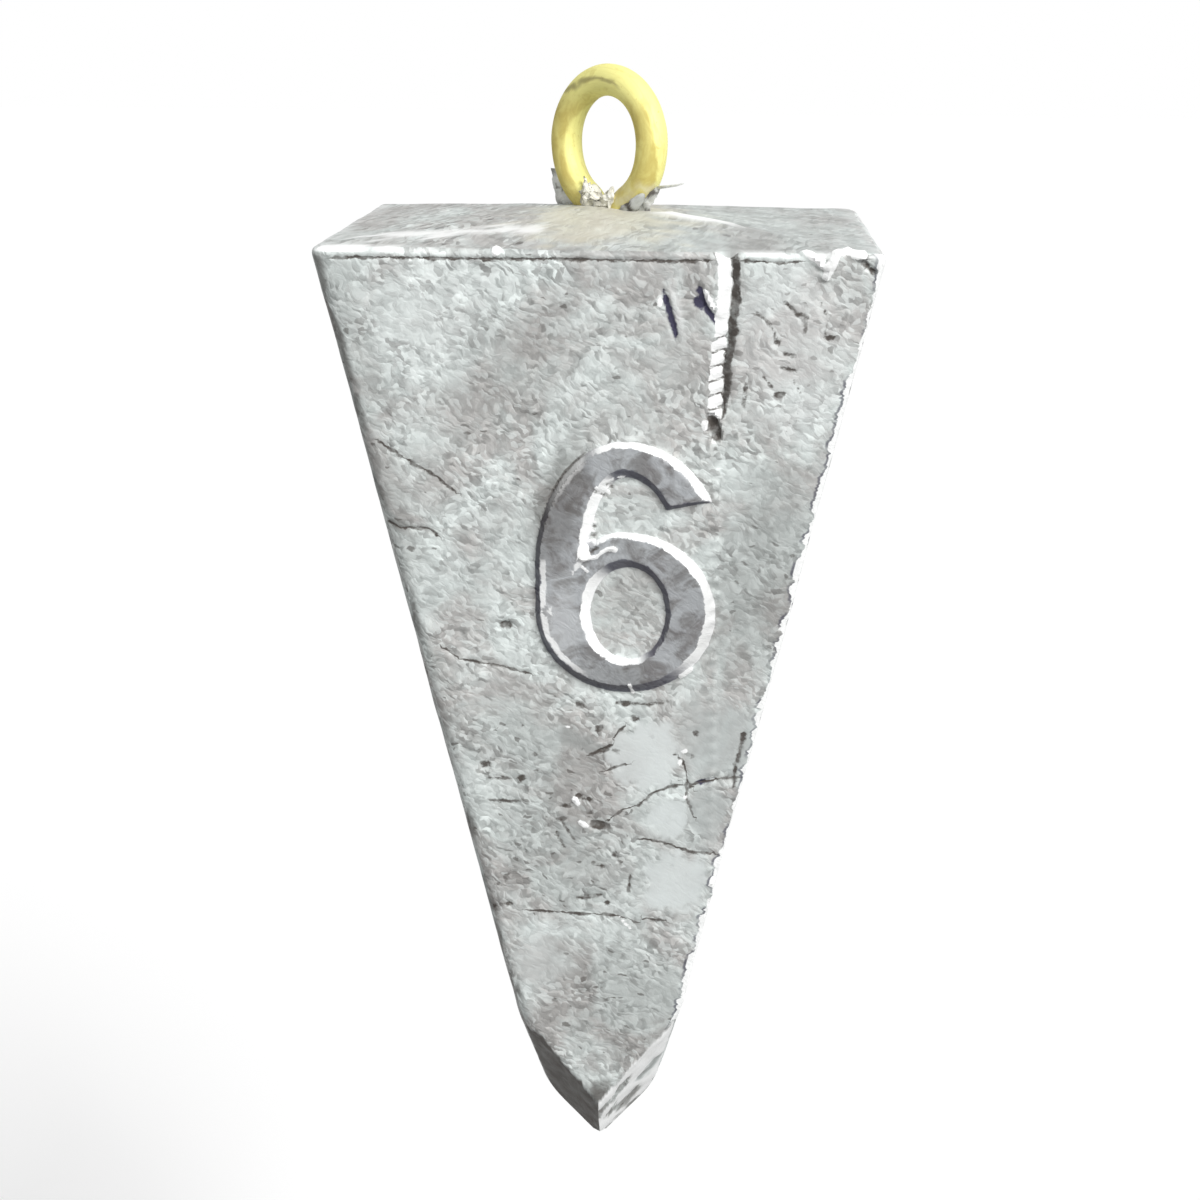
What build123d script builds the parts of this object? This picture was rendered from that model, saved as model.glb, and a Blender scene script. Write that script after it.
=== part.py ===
from build123d import *
import os
from math import atan2, cos, degrees, radians, sin, sqrt, tan

# Pyramid fishing sinker: a square lead casting that hangs point down, and the brass wire eye that it is
# cast around. Millimetres. +Z runs up the axis, from the point to the eye. The origin is the centre of the
# eye's loop, where the line is tied. The side with the raised weight numeral looks along -Y.
#
# The casting comes from a two-part mould that closes on the diagonal plane through the front right and the
# back left corner. The wire eye lies in that plane, those two corners are sharp, and the other two, which
# lie deep in the mould, are rounded.

# Casting
base_side = 27.0            # side of the square crown edge
body_height = 50.2          # crown edge down to where the point facets would meet
crown_rise = 1.2            # middle of the hipped crown above its edge
point_side = 4.75           # side of the square that the sides narrow to, level with the point
point_taper = 34.5          # degrees between a point facet and the axis
point_flat = 0.8            # across the land that is left where the pouring gate was snipped
deep_corner_radius = 1.3    # the two corners that lie deep in the mould
rim_bevel = 0.5             # width of the flat that breaks the crown edge

# Raised weight numeral, a plain 6, measured along the front side, at the foot of its walls
numeral_drop = 9.5          # crown edge to the numeral's top
numeral_shift = 1.4         # centre line of the side to the numeral's middle
numeral_width = 8.9
numeral_height = 13.5
stem_width = 2.75           # stroke at the left
bar_width = 1.85            # stroke at the top
hook_reach = 5.05           # numeral's middle to the right side of the oval that the hook follows
hook_width = 2.45           # stroke of the hook at its right side
hook_drop = 3.0             # numeral's top to the cut end of the hook
hook_slope = 12.0           # degrees that the cut end falls towards the stem
hook_end_share = 0.3        # draft of the cut end, of that of the other walls
mouth_height = 1.75         # cut end of the hook to the top of the bowl
bowl_shoulder_share = 0.8   # upper left quarter of the bowl's oval, of half the numeral's width
bowl_side_width = 2.6       # mean stroke beside the counter
bowl_bar_width = 1.875      # stroke over and under the counter
counter_shift = 0.14        # numeral's middle to the middle of the counter
numeral_relief = 0.55
numeral_draft = 40.0        # degrees of the numeral's walls
numeral_lean = 14.0         # degrees that the numeral leans left, to leave the mould as it opens

# Brass wire eye
wire_diameter = 1.6
loop_inner_diameter = 4.8
loop_height = 3.05          # loop's centre above the middle of the crown
neck_radius = 1.3           # bend from the loop into a leg, at the wire's centre
leg_gap = 0.4               # between the two legs
leg_depth = 11.0            # middle of the crown down to the feet, at the wire's centre
foot_bend_radius = 2.0
foot_angle = 70.0           # degrees that each foot turns out of its leg
foot_length = 2.2           # straight end of each foot

overrun = 2.0               # what is built past a face that is cut later

side_taper = degrees(atan2((base_side - point_side) / 2, body_height))
bowl_height = numeral_height - hook_drop - mouth_height
counter_width = numeral_width - 2 * bowl_side_width
counter_height = bowl_height - 2 * bowl_bar_width

# Levels on the axis
crown_level = -loop_height
edge_level = crown_level - crown_rise
point_level = edge_level - body_height
sides_meet_level = edge_level - base_side / 2 / tan(radians(side_taper))

HANGING = (Align.CENTER, Align.CENTER, Align.MAX)
BELOW = (Align.CENTER, Align.MAX)
LEFT = (Align.MAX, Align.CENTER)
RIGHT = (Align.MIN, Align.CENTER)

right_angle = 90
side_turns = [quarter * right_angle for quarter in range(4)]
corner_turns = [turn + right_angle / 2 for turn in side_turns]


def half_side(level):
    """Half the width of the tapered block at a level on the axis."""
    return base_side / 2 - (edge_level - level) * tan(radians(side_taper))


def leaning_plane(level, lean, turn):
    """A plane through the axis at a level. Its normal leans up from the horizontal, and is turned round Z."""
    reach = cos(radians(lean))
    normal = (reach * cos(radians(turn)), reach * sin(radians(turn)), sin(radians(lean)))
    return Plane(origin=(0, 0, level), z_dir=normal)


def trimmed(solid, planes):
    """The part of a solid that lies behind all the planes."""
    for plane in planes:
        solid = split(solid, bisect_by=plane, keep=Keep.BOTTOM)
    return solid


def tapered_block():
    """The four sides, taller than the crown, with the two deep corners rounded."""
    top = crown_level + overrun
    block = Pos(0, 0, top) * Box(2 * half_side(top), 2 * half_side(top), top - point_level, align=HANGING)
    block = trimmed(block, [leaning_plane(sides_meet_level, -side_taper, turn) for turn in side_turns])
    deep = [
        edge
        for edge in block.edges().filter_by(lambda edge: edge.bounding_box().size.Z > body_height)
        if edge.center().X * edge.center().Y > 0
    ]
    return fillet(deep, deep_corner_radius)


def rim_planes(crown_lean):
    """The planes that break the crown edge, midway between the lean of the sides and that of the crown."""
    lean = (crown_lean - side_taper) / 2
    half_turn = (crown_lean + side_taper) / 2
    depth = rim_bevel / 2 / tan(radians(half_turn))
    level = edge_level + (half_side(edge_level) * cos(radians(lean)) - depth) / sin(radians(lean))
    return [leaning_plane(level, lean, turn) for turn in side_turns]


def casting():
    """The lead body, with its hipped crown and faceted point, before the eye's hollow is taken out."""
    crown_lean = degrees(atan2(base_side / 2, crown_rise))
    crown = [leaning_plane(crown_level, crown_lean, turn) for turn in side_turns]
    facets = [leaning_plane(point_level, -point_taper, turn) for turn in corner_turns]
    land_level = point_level + point_flat / 2 / tan(radians(point_taper))
    land = [Plane(origin=(0, 0, land_level), z_dir=(0, 0, -1))]
    return trimmed(tapered_block(), crown + rim_planes(crown_lean) + facets + land)


def front_plane():
    """The front side: X to the right, Y up the slope from the crown edge, Z out of the metal."""
    lean = radians(side_taper)
    return Plane(origin=(0, -half_side(edge_level), edge_level), x_dir=(1, 0, 0), z_dir=(0, -cos(lean), -sin(lean)))


def lopsided_oval(left, right, half_height):
    """An oval whose left and right half have their own reach from the middle."""
    left_half = Ellipse(left, half_height) & Rectangle(2 * left, 2 * half_height, align=LEFT)
    right_half = Ellipse(right, half_height) & Rectangle(2 * right, 2 * half_height, align=RIGHT)
    return left_half + right_half


def numeral_outline(inset):
    """The numeral's outer outline and its counter, with every stroke thinner by inset all round."""
    half_width = numeral_width / 2 - inset
    half_height = numeral_height / 2 - inset
    spine = lopsided_oval(half_width, hook_reach - inset, half_height)
    hollow_left = numeral_width / 2 - stem_width + inset
    hollow = lopsided_oval(hollow_left, hook_reach - hook_width + inset, numeral_height / 2 - bar_width + inset)
    hook_end = Pos(numeral_width / 2, numeral_height / 2 - hook_drop + inset * hook_end_share)
    mouth = hook_end * Rot(0, 0, hook_slope) * Rectangle(2 * numeral_width, 2 * numeral_height, align=BELOW)
    mouth &= Rectangle(numeral_width, 2 * numeral_height, align=RIGHT)
    bowl_half_height = bowl_height / 2 - inset
    bowl_middle = Pos(0, (bowl_height - numeral_height) / 2)
    shoulder = bowl_shoulder_share * numeral_width / 2 - inset
    bowl = bowl_middle * lopsided_oval(shoulder, half_width, bowl_half_height)
    heel = Ellipse(half_width, bowl_half_height) & Rectangle(2 * half_width, 2 * bowl_half_height, align=BELOW)
    stem = Rectangle(half_width, (numeral_height - bowl_height) / 2, align=(Align.MAX, Align.MAX))
    counter = Ellipse(counter_width / 2 + inset, counter_height / 2 + inset)
    outer = spine + stem - hollow - mouth + bowl_middle * heel + bowl
    return outer, bowl_middle * Pos(counter_shift, 0) * counter


def numeral():
    """The raised weight numeral, with drafted walls, on the front side."""
    middle = Pos(numeral_shift, -numeral_drop - numeral_height / 2)
    foot_outer, foot_counter = numeral_outline(0)
    top_outer, top_counter = numeral_outline(numeral_relief * tan(radians(numeral_draft)))
    lift = Pos(-numeral_relief * tan(radians(numeral_lean)), 0, numeral_relief)
    outer = loft([foot_outer, lift * top_outer], ruled=True)
    counter = loft([foot_counter, lift * top_counter], ruled=True)
    return front_plane() * middle * (outer - counter)


def wire_path():
    """The centre line of the bent wire, in the mould's closing plane: X along the diagonal, Y up the axis."""
    wire_radius = wire_diameter / 2
    loop_radius = loop_inner_diameter / 2 + wire_radius
    leg_reach = wire_radius + leg_gap / 2
    neck_reach = leg_reach + neck_radius
    neck_level = -sqrt((loop_radius + neck_radius) ** 2 - neck_reach**2)
    join = Vector(neck_reach, neck_level) * (loop_radius / (loop_radius + neck_radius))
    turn = radians(foot_angle)
    bend_level = crown_level - leg_depth + foot_bend_radius
    heel = Vector(leg_reach + foot_bend_radius * (1 - cos(turn)), bend_level - foot_bend_radius * sin(turn))
    toe = heel + Vector(sin(turn), -cos(turn)) * foot_length
    half = Wire(
        [
            Line(toe, heel),
            RadiusArc(heel, (leg_reach, bend_level), foot_bend_radius),
            Line((leg_reach, bend_level), (leg_reach, neck_level)),
            RadiusArc((leg_reach, neck_level), join, neck_radius),
        ]
    )
    loop = ThreePointArc(join, (0, loop_radius), (-join.X, join.Y))
    other_half = mirror(half, about=Plane.YZ)
    return Wire([*half.edges(), *loop.edges(), *other_half.edges()])


def wire_eye():
    """The bent brass wire, turned into the mould's closing plane."""
    closing_plane = Plane(origin=(0, 0, 0), x_dir=(1, -1, 0), z_dir=(-1, -1, 0))
    path = closing_plane * wire_path()
    return sweep(Plane(origin=path @ 0, z_dir=path % 0) * Circle(wire_diameter / 2), path=path)


def lead_body(eye):
    """The finished casting, closed round the legs of the eye."""
    return casting() + numeral() - eye


os.makedirs("parts", exist_ok=True)
eye = wire_eye()
export_step(lead_body(eye), "parts/lead_body.step")
export_step(eye, "parts/wire_eye.step")
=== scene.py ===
"""Looks of a cast lead pyramid sinker with a brass wire eye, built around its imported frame."""

import logging
from dataclasses import dataclass, field
from enum import Enum
from math import atan2, cos, hypot, pi, radians, sin, sqrt, tan
from typing import Any, Callable

import bpy
import numpy as np
from mathutils import Matrix, Vector, noise


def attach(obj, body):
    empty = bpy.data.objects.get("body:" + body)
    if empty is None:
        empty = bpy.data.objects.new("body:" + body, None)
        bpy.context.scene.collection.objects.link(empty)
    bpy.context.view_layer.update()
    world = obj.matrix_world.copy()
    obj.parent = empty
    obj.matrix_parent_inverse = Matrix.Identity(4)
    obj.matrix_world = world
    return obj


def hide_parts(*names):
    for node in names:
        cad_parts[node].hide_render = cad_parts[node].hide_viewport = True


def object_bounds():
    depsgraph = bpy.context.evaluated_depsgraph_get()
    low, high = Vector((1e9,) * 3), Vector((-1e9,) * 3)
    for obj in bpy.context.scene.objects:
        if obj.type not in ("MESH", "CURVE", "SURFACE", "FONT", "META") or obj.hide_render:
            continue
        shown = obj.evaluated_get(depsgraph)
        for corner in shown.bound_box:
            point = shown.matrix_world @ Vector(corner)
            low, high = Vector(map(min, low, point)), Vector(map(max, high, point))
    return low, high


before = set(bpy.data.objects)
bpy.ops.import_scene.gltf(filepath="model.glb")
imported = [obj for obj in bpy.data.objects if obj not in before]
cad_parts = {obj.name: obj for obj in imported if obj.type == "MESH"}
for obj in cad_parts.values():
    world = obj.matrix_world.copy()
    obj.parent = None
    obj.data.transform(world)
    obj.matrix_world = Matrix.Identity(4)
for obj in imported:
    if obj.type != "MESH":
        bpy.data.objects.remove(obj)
cad_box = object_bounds()

MM = 0.001
TINY = 1e-6
FAR = 9.0
SIDE_MAP = "side_map"
WIRE_MAP = "wire_map"
LOG = logging.getLogger("sinker")

Array = np.ndarray
Point = tuple[float, float]
Triple = tuple[float, float, float]
Color = tuple[float, float, float]
Faces = list[tuple[int, ...]]
Socket = bpy.types.NodeSocket

# The mould closes, and the loop of the eye stands, in the plane of the diagonal and the axis.
DIAGONAL = np.array([1, -1, 0]) / sqrt(2)
AXIS = np.array([0, 0, 1.0])
BEHIND = np.array([1, 1, 0]) / sqrt(2)


class Side(Enum):
    """A side of the casting, in the order in which its skin is laid, against the clock from above."""

    FRONT = 0
    RIGHT = 1
    BACK = 2
    LEFT = 3

    @property
    def turn(self) -> float:
        """The turn from the front side round the axis, in radians."""
        return self.value * pi / 2

    @property
    def along(self) -> Array:
        """The direction to the right along the side, seen from outside."""
        return np.array([cos(self.turn), sin(self.turn), 0.0])

    @property
    def outward(self) -> Array:
        """The level direction out of the side."""
        return np.array([sin(self.turn), -cos(self.turn), 0.0])


class Tone(Enum):
    """What a mark shows: bright fresh metal, partly painted highlight on walls and ridges that face the
    light; a dark hollow; or a darker blue mark, partly painted shade.
    """

    BARE = "bare"
    DARK = "dark"
    BLUE = "blue"

    @property
    def mask(self) -> "Mask":
        """The mask that holds the marks of this tone."""
        return Mask(f"{self.value}_mark_gap")


class Mask(Enum):
    """What is painted on the skin of the casting, point by point, for its finish to read."""

    PALE = "pale_metal"
    SHADE = "shaded_metal"
    CALM = "calm_metal"
    CHIPPED = "chipped_metal"
    CRACKED = "cracked_metal"
    STAIN = "eye_stain"
    # Bright marks of fresh metal, with the painted highlight on the gouge's wall that faces the light.
    BARE_GAP = "bare_mark_gap"
    # Dark marks, with the painted shade on the gouge's far wall.
    DARK_GAP = "dark_mark_gap"
    # Darker blue marks, partly painted shade.
    BLUE_GAP = "blue_mark_gap"
    CRACK_OFFSET = "crack_offset"
    CRACK_DEPTH = "crack_depth"
    FOOT_GAP = "numeral_foot_gap"
    TOP_GAP = "numeral_top_gap"
    # The numeral's walls and edges that take painted highlight, and along the upper left a painted shadow at
    # the foot.
    WALL_LIT = "numeral_wall_lit"
    EDGE_LIT = "numeral_edge_lit"
    ARRIS_GAP = "parted_arris_gap"

    @property
    def blank(self) -> float:
        """The value on plain skin: far off for a gap, and nothing for the others."""
        return FAR if self.value.endswith("_gap") else 0.0


class WireMask(Enum):
    """What is painted on the wire, point by point, for its finish to read."""

    # Painted shade on the side of the wire away from the light.
    TARNISH = "tarnish"
    # A painted shadow line where the lit and the shaded sides meet along the top of the loop.
    CREASE = "crease"
    SMEAR = "lead_smear"


Masks = dict[Mask, Array]


def cast_noise(points: Array, size: float, octaves: int, seed: float) -> Array:
    """Smooth noise over points, from about -1 to 1.

    Args:
        points: Places in millimetres, with x, y and z in the last axis.
        size: Width of its largest lumps, in millimetres.
        octaves: How many finer layers it has.
        seed: Shifts the noise, so that two calls differ.

    Returns:
        One value for each point.
    """
    flat = points.reshape(-1, 3) / size + seed
    values = [noise.fractal(Vector(place), 1.0, 2.0, octaves) for place in flat]
    return np.array(values).reshape(points.shape[:-1])


def fade(value: Array, start: float, end: float) -> Array:
    """A smooth step from 0 at start to 1 at end, which may lie below start."""
    share = np.clip((value - start) / (end - start), 0, 1)
    return share * share * (3 - 2 * share)


def oval(x: Array, y: Array, left: float, right: float, half_height: float) -> Array:
    """About how far points lie outside an oval.

    Args:
        x: Places to the right of its middle.
        y: Places above its middle.
        left: Reach of its left half.
        right: Reach of its right half.
        half_height: Half of its height.

    Returns:
        The distance, negative inside.
    """
    reach = np.where(x < 0, left, right)
    nearness = np.hypot(x / reach, y / half_height)
    slope = np.hypot(x / reach**2, y / half_height**2)
    return (nearness - 1) * nearness / np.maximum(slope, TINY)


def all_of(*shapes: Array) -> Array:
    """The distance outside the shape that several shapes share."""
    return np.maximum.reduce(shapes)


def any_of(*shapes: Array) -> Array:
    """The distance outside several shapes taken together."""
    return np.minimum.reduce(shapes)


def blank_masks(shape: int | tuple[int, ...]) -> Masks:
    """Masks with nothing painted on them yet."""
    return {mask: np.full(shape, mask.blank) for mask in Mask}


def paint_over(masks: Masks, mask: Mask, values: Array) -> None:
    """Paints values on a mask where they are more than it has."""
    masks[mask] = np.maximum(masks[mask], values)


def tube_faces(first: int, rings: int, sides: int) -> tuple[Array, Faces]:
    """Joins rings of points into an open tube.

    Args:
        first: The number of the first point.
        rings: How many rings there are.
        sides: How many points each ring has.

    Returns:
        The number of each point, ring by ring, and the corners of each face.
    """
    number = first + np.arange(rings * sides).reshape(rings, sides)
    following = np.roll(number, -1, axis=1)
    quads = np.stack([number[:-1], following[:-1], following[1:], number[1:]], axis=-1)
    return number, [tuple(quad) for quad in quads.reshape(-1, 4).tolist()]


def end_faces(number: Array) -> Faces:
    """The two faces that close a tube, from the numbers of its points."""
    return [tuple(number[0][::-1].tolist()), tuple(number[-1].tolist())]


def meshed(name: str, points: Array, corners: Faces, masks: dict[Any, Array]) -> bpy.types.Mesh:
    """Makes a mesh and paints its masks.

    Args:
        name: The mesh's name.
        points: Its points, in millimetres.
        corners: The corners of each face.
        masks: One value of each mask for each point.

    Returns:
        The mesh.
    """
    mesh = bpy.data.meshes.new(name)
    mesh.from_pydata((points * MM).tolist(), [], corners)
    for mask, values in masks.items():
        painted = mesh.attributes.new(mask.value, "FLOAT", "POINT")
        painted.data.foreach_set("value", values.astype(np.float32).ravel())
    return mesh


def add_map(mesh: bpy.types.Mesh, name: str, places: Array) -> None:
    """Lays a mesh out on a flat map, by the place of each corner of each face in millimetres."""
    layer = mesh.uv_layers.new(name=name)
    layer.uv.foreach_set("vector", places.astype(np.float32).ravel())


def placed(mesh: bpy.types.Mesh, material: bpy.types.Material) -> bpy.types.Object:
    """Puts a mesh into the scene as a piece of the object.

    Args:
        mesh: The finished mesh, whose name the piece takes.
        material: Its material.

    Returns:
        The piece, riding on the one body.
    """
    piece = bpy.data.objects.new(mesh.name, mesh)
    bpy.context.scene.collection.objects.link(piece)
    mesh.materials.append(material)
    mesh.shade_smooth()
    mesh.validate()
    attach(piece, "root")
    return piece


@dataclass(frozen=True)
class Stroke:
    """A scratch, cut or ridge along a line on a side, in millimetres across and down the side."""

    points: tuple[Point, ...]
    half_width: float = 0.1
    rise: float = -0.05
    tone: Tone = Tone.DARK

    def measure(self, across: Array, down: Array) -> tuple[Array, Array]:
        """Measures points against the line.

        Args:
            across: Places to the right of the side's middle.
            down: Places below the crown edge.

        Returns:
            The distance from the line, and the same distance signed by the side of the line.
        """
        nearest = np.full(across.shape, np.inf)
        signed = np.zeros(across.shape)
        for (x0, y0), (x1, y1) in zip(self.points, self.points[1:]):
            length = hypot(x1 - x0, y1 - y0)
            run_x, run_y = (x1 - x0) / length, (y1 - y0) / length
            along = np.clip((across - x0) * run_x + (down - y0) * run_y, 0, length)
            gap_x = across - x0 - along * run_x
            gap_y = down - y0 - along * run_y
            gap = np.hypot(gap_x, gap_y)
            closer = gap < nearest
            nearest = np.where(closer, gap, nearest)
            signed = np.where(closer, gap * np.sign(gap_x * run_y - gap_y * run_x), signed)
        return nearest, signed

    def gap(self, across: Array, down: Array) -> Array:
        """How far points lie outside the stroke, negative inside it."""
        return self.measure(across, down)[0] - self.half_width


@dataclass(frozen=True)
class OvalMark:
    """An oval on a side, with its middle across and down the side, in millimetres."""

    middle: Point
    reach: Point
    tilt: float = 0.0

    def turned(self, across: Array, down: Array) -> tuple[Array, Array]:
        """Turns points into the oval's own frame.

        Args:
            across: Places to the right of the side's middle.
            down: Places below the crown edge.

        Returns:
            The places along and beside the oval's own length, from its middle.
        """
        x = across - self.middle[0]
        y = down - self.middle[1]
        turned_x = x * cos(self.tilt) + y * sin(self.tilt)
        turned_y = y * cos(self.tilt) - x * sin(self.tilt)
        return turned_x, turned_y


@dataclass(frozen=True)
class Spot(OvalMark):
    """A pit or crumb."""

    rise: float = -0.06
    tone: Tone = Tone.DARK

    def gap(self, across: Array, down: Array) -> Array:
        """About how far points lie outside the oval, negative inside it."""
        x, y = self.turned(across, down)
        return oval(x, y, self.reach[0], self.reach[0], self.reach[1])


@dataclass(frozen=True)
class Patch(OvalMark):
    """A patch of another tone with soft edges, on which nothing rises."""

    pale: float = 0.0
    shade: float = 0.0
    calm: float = 0.0
    chip: float = 0.0
    edge: float = 0.6

    def cover(self, across: Array, down: Array) -> Array:
        """How much of the patch lies on points, from 0 outside it to 1 well inside."""
        x, y = self.turned(across, down)
        return fade(np.hypot(x / self.reach[0], y / self.reach[1]), 1 + self.edge, 1 - self.edge)


@dataclass(frozen=True)
class Numeral:
    """The raised weight numeral, a plain 6, measured at the foot of its walls, in millimetres."""

    drop: float = 9.5
    shift: float = 1.4
    width: float = 8.9
    height: float = 13.5
    stem: float = 2.6
    bar: float = 1.85
    hook_reach: float = 5.05
    hook_stroke: float = 2.45
    hook_drop: float = 3.0
    hook_slope: float = radians(12)
    hook_end_share: float = 0.3
    mouth: float = 1.75
    shoulder_share: float = 0.8
    bowl_side: float = 2.6
    bowl_bar: float = 1.875
    counter_shift: float = 0.14
    relief: float = 0.42
    wall: float = 0.38
    lean_left: float = 0.13
    lean_up: float = 0.2
    probe: float = 0.01

    def outline(self, across: Array, down: Array, inset: float) -> Array:
        """How far points lie outside the numeral.

        Args:
            across: Places to the right of the side's middle.
            down: Places below the crown edge.
            inset: What every stroke is thinner by, all round.

        Returns:
            The distance, negative inside the strokes.
        """
        x = across - self.shift
        y = self.drop + self.height / 2 - down
        half_width = self.width / 2 - inset
        half_height = self.height / 2 - inset
        spine = oval(x, y, half_width, self.hook_reach - inset, half_height)
        hollow_left = self.width / 2 - self.stem + inset
        hollow_right = self.hook_reach - self.hook_stroke + inset
        hollow = oval(x, y, hollow_left, hollow_right, self.height / 2 - self.bar + inset)
        cut_level = self.height / 2 - self.hook_drop + inset * self.hook_end_share
        over_cut = (y - cut_level) * cos(self.hook_slope) - (x - self.width / 2) * sin(self.hook_slope)
        mouth = all_of(over_cut, -x)
        bowl_height = self.height - self.hook_drop - self.mouth
        bowl_y = y - (bowl_height - self.height) / 2
        bowl_half = bowl_height / 2 - inset
        bowl = oval(x, bowl_y, self.shoulder_share * self.width / 2 - inset, half_width, bowl_half)
        heel = all_of(oval(x, bowl_y, half_width, half_width, bowl_half), bowl_y)
        stem_foot = (self.height - bowl_height) / 2
        stem = all_of(-half_width - x, x, -stem_foot - y, y)
        counter_reach = self.width / 2 - self.bowl_side + inset
        counter_half = bowl_height / 2 - self.bowl_bar + inset
        counter = oval(x - self.counter_shift, bowl_y, counter_reach, counter_reach, counter_half)
        strokes = all_of(any_of(spine, stem), -hollow, -mouth)
        return all_of(any_of(strokes, heel, bowl), -counter)

    def foot(self, across: Array, down: Array) -> Array:
        """How far points lie outside the foot of the walls."""
        return self.outline(across, down, 0)

    def top(self, across: Array, down: Array) -> Array:
        """How far points lie outside the flat top of the strokes."""
        return self.outline(across + self.lean_left, down + self.lean_up, self.wall)

    def slope(self, edge: Callable, across: Array, down: Array) -> tuple[Array, Array, Array]:
        """Measures points against an edge of the walls.

        Args:
            edge: The method that measures that edge.
            across: Places to the right of the side's middle.
            down: Places below the crown edge.

        Returns:
            How far points lie outside the edge, and how fast that grows to the right and downwards.
        """
        gap = edge(across, down)
        right = (edge(across + self.probe, down) - gap) / self.probe
        below = (edge(across, down + self.probe) - gap) / self.probe
        return gap, right, below

    def snapped(self, across: Array, down: Array, reach: float) -> tuple[Array, Array]:
        """Moves points that lie near an edge of the walls onto it, so that the edge stays crisp.

        Args:
            across: Places to the right of the side's middle.
            down: Places below the crown edge.
            reach: How far a point may be moved.

        Returns:
            The moved places, across and down.
        """
        for edge in (self.foot, self.top):
            gap, right, below = self.slope(edge, across, down)
            step = np.where(np.abs(gap) < reach, gap / np.maximum(right**2 + below**2, TINY), 0)
            step = np.clip(step, -reach, reach)
            across = across - step * right
            down = down - step * below
        return across, down

    def wall_share(self, across: Array, down: Array) -> Array:
        """Measures how far up the walls points lie.

        Args:
            across: Places to the right of the side's middle.
            down: Places below the crown edge.

        Returns:
            A share, from 0 at the foot and outside to 1 on the top.
        """
        foot = self.foot(across, down)
        top = self.top(across, down)
        return np.clip(-foot / np.maximum(top - foot, TINY), 0, 1)


@dataclass(frozen=True)
class Gouge:
    """The long V-shaped cut beside the numeral, with its valley line across and down the front."""

    valley: tuple[Point, ...] = ((6.15, -0.5), (6.3, 1.3), (6.2, 4.0), (6.0, 5.2), (5.95, 8.2))
    lit_wall: float = 0.64
    dark_wall: float = 0.42
    depth: float = 0.36
    tail: float = 2.0
    tail_share: float = 0.35
    run_out: float = 0.5
    chatter_start: float = 4.1
    chatter_step: float = 0.72
    chatter_rise: float = 0.12
    notch: float = 0.07
    notch_slant: float = 0.25
    wander: float = 0.12

    def cut(self, across: Array, down: Array, ragged: Array) -> tuple[Array, Array, Array]:
        """Works out the cut at points of the front.

        Args:
            across: Places to the right of the side's middle.
            down: Places below the crown edge.
            ragged: Noise that its edges wander by.

        Returns:
            Its rise, which is negative, and how far points lie outside its bright and its dark wall.
        """
        start, end = self.valley[0][1], self.valley[-1][1]
        middle = np.interp(down, [y for _, y in self.valley], [x for x, _ in self.valley])
        offset = across - middle + self.wander * ragged
        past_ends = all_of(start - down, down - end)
        before_tail = fade(down, end, end - self.tail)
        narrowing = self.dark_wall * (self.tail_share + (1 - self.tail_share) * before_tail)
        wall = np.where(offset < 0, 1 + offset / self.lit_wall, 1 - offset / narrowing)
        depth = np.clip(wall, 0, 1) * fade(down, end, end - self.run_out) * (past_ends < 0)
        beat = (down + self.notch_slant * offset - self.chatter_start) / self.chatter_step
        from_notch = np.abs(beat - np.round(beat)) * self.chatter_step
        notched = down > self.chatter_start - self.chatter_step / 2
        between_notches = np.where(notched, from_notch, self.chatter_step / 2)
        bead = fade(between_notches, 0, self.chatter_step / 2) * notched * (offset < 0)
        # The wall that faces the light takes painted highlight; the far wall and the notches take painted
        # shade.
        lit = all_of(-offset - self.lit_wall, offset, past_ends)
        notch = all_of(lit, between_notches - self.notch)
        lit = all_of(lit, self.notch - between_notches)
        dark = any_of(all_of(-offset, offset - narrowing, past_ends), notch)
        rise = -self.depth * depth + self.chatter_rise * bead * np.clip(wall, 0, 1)
        return rise, lit, dark


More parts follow.
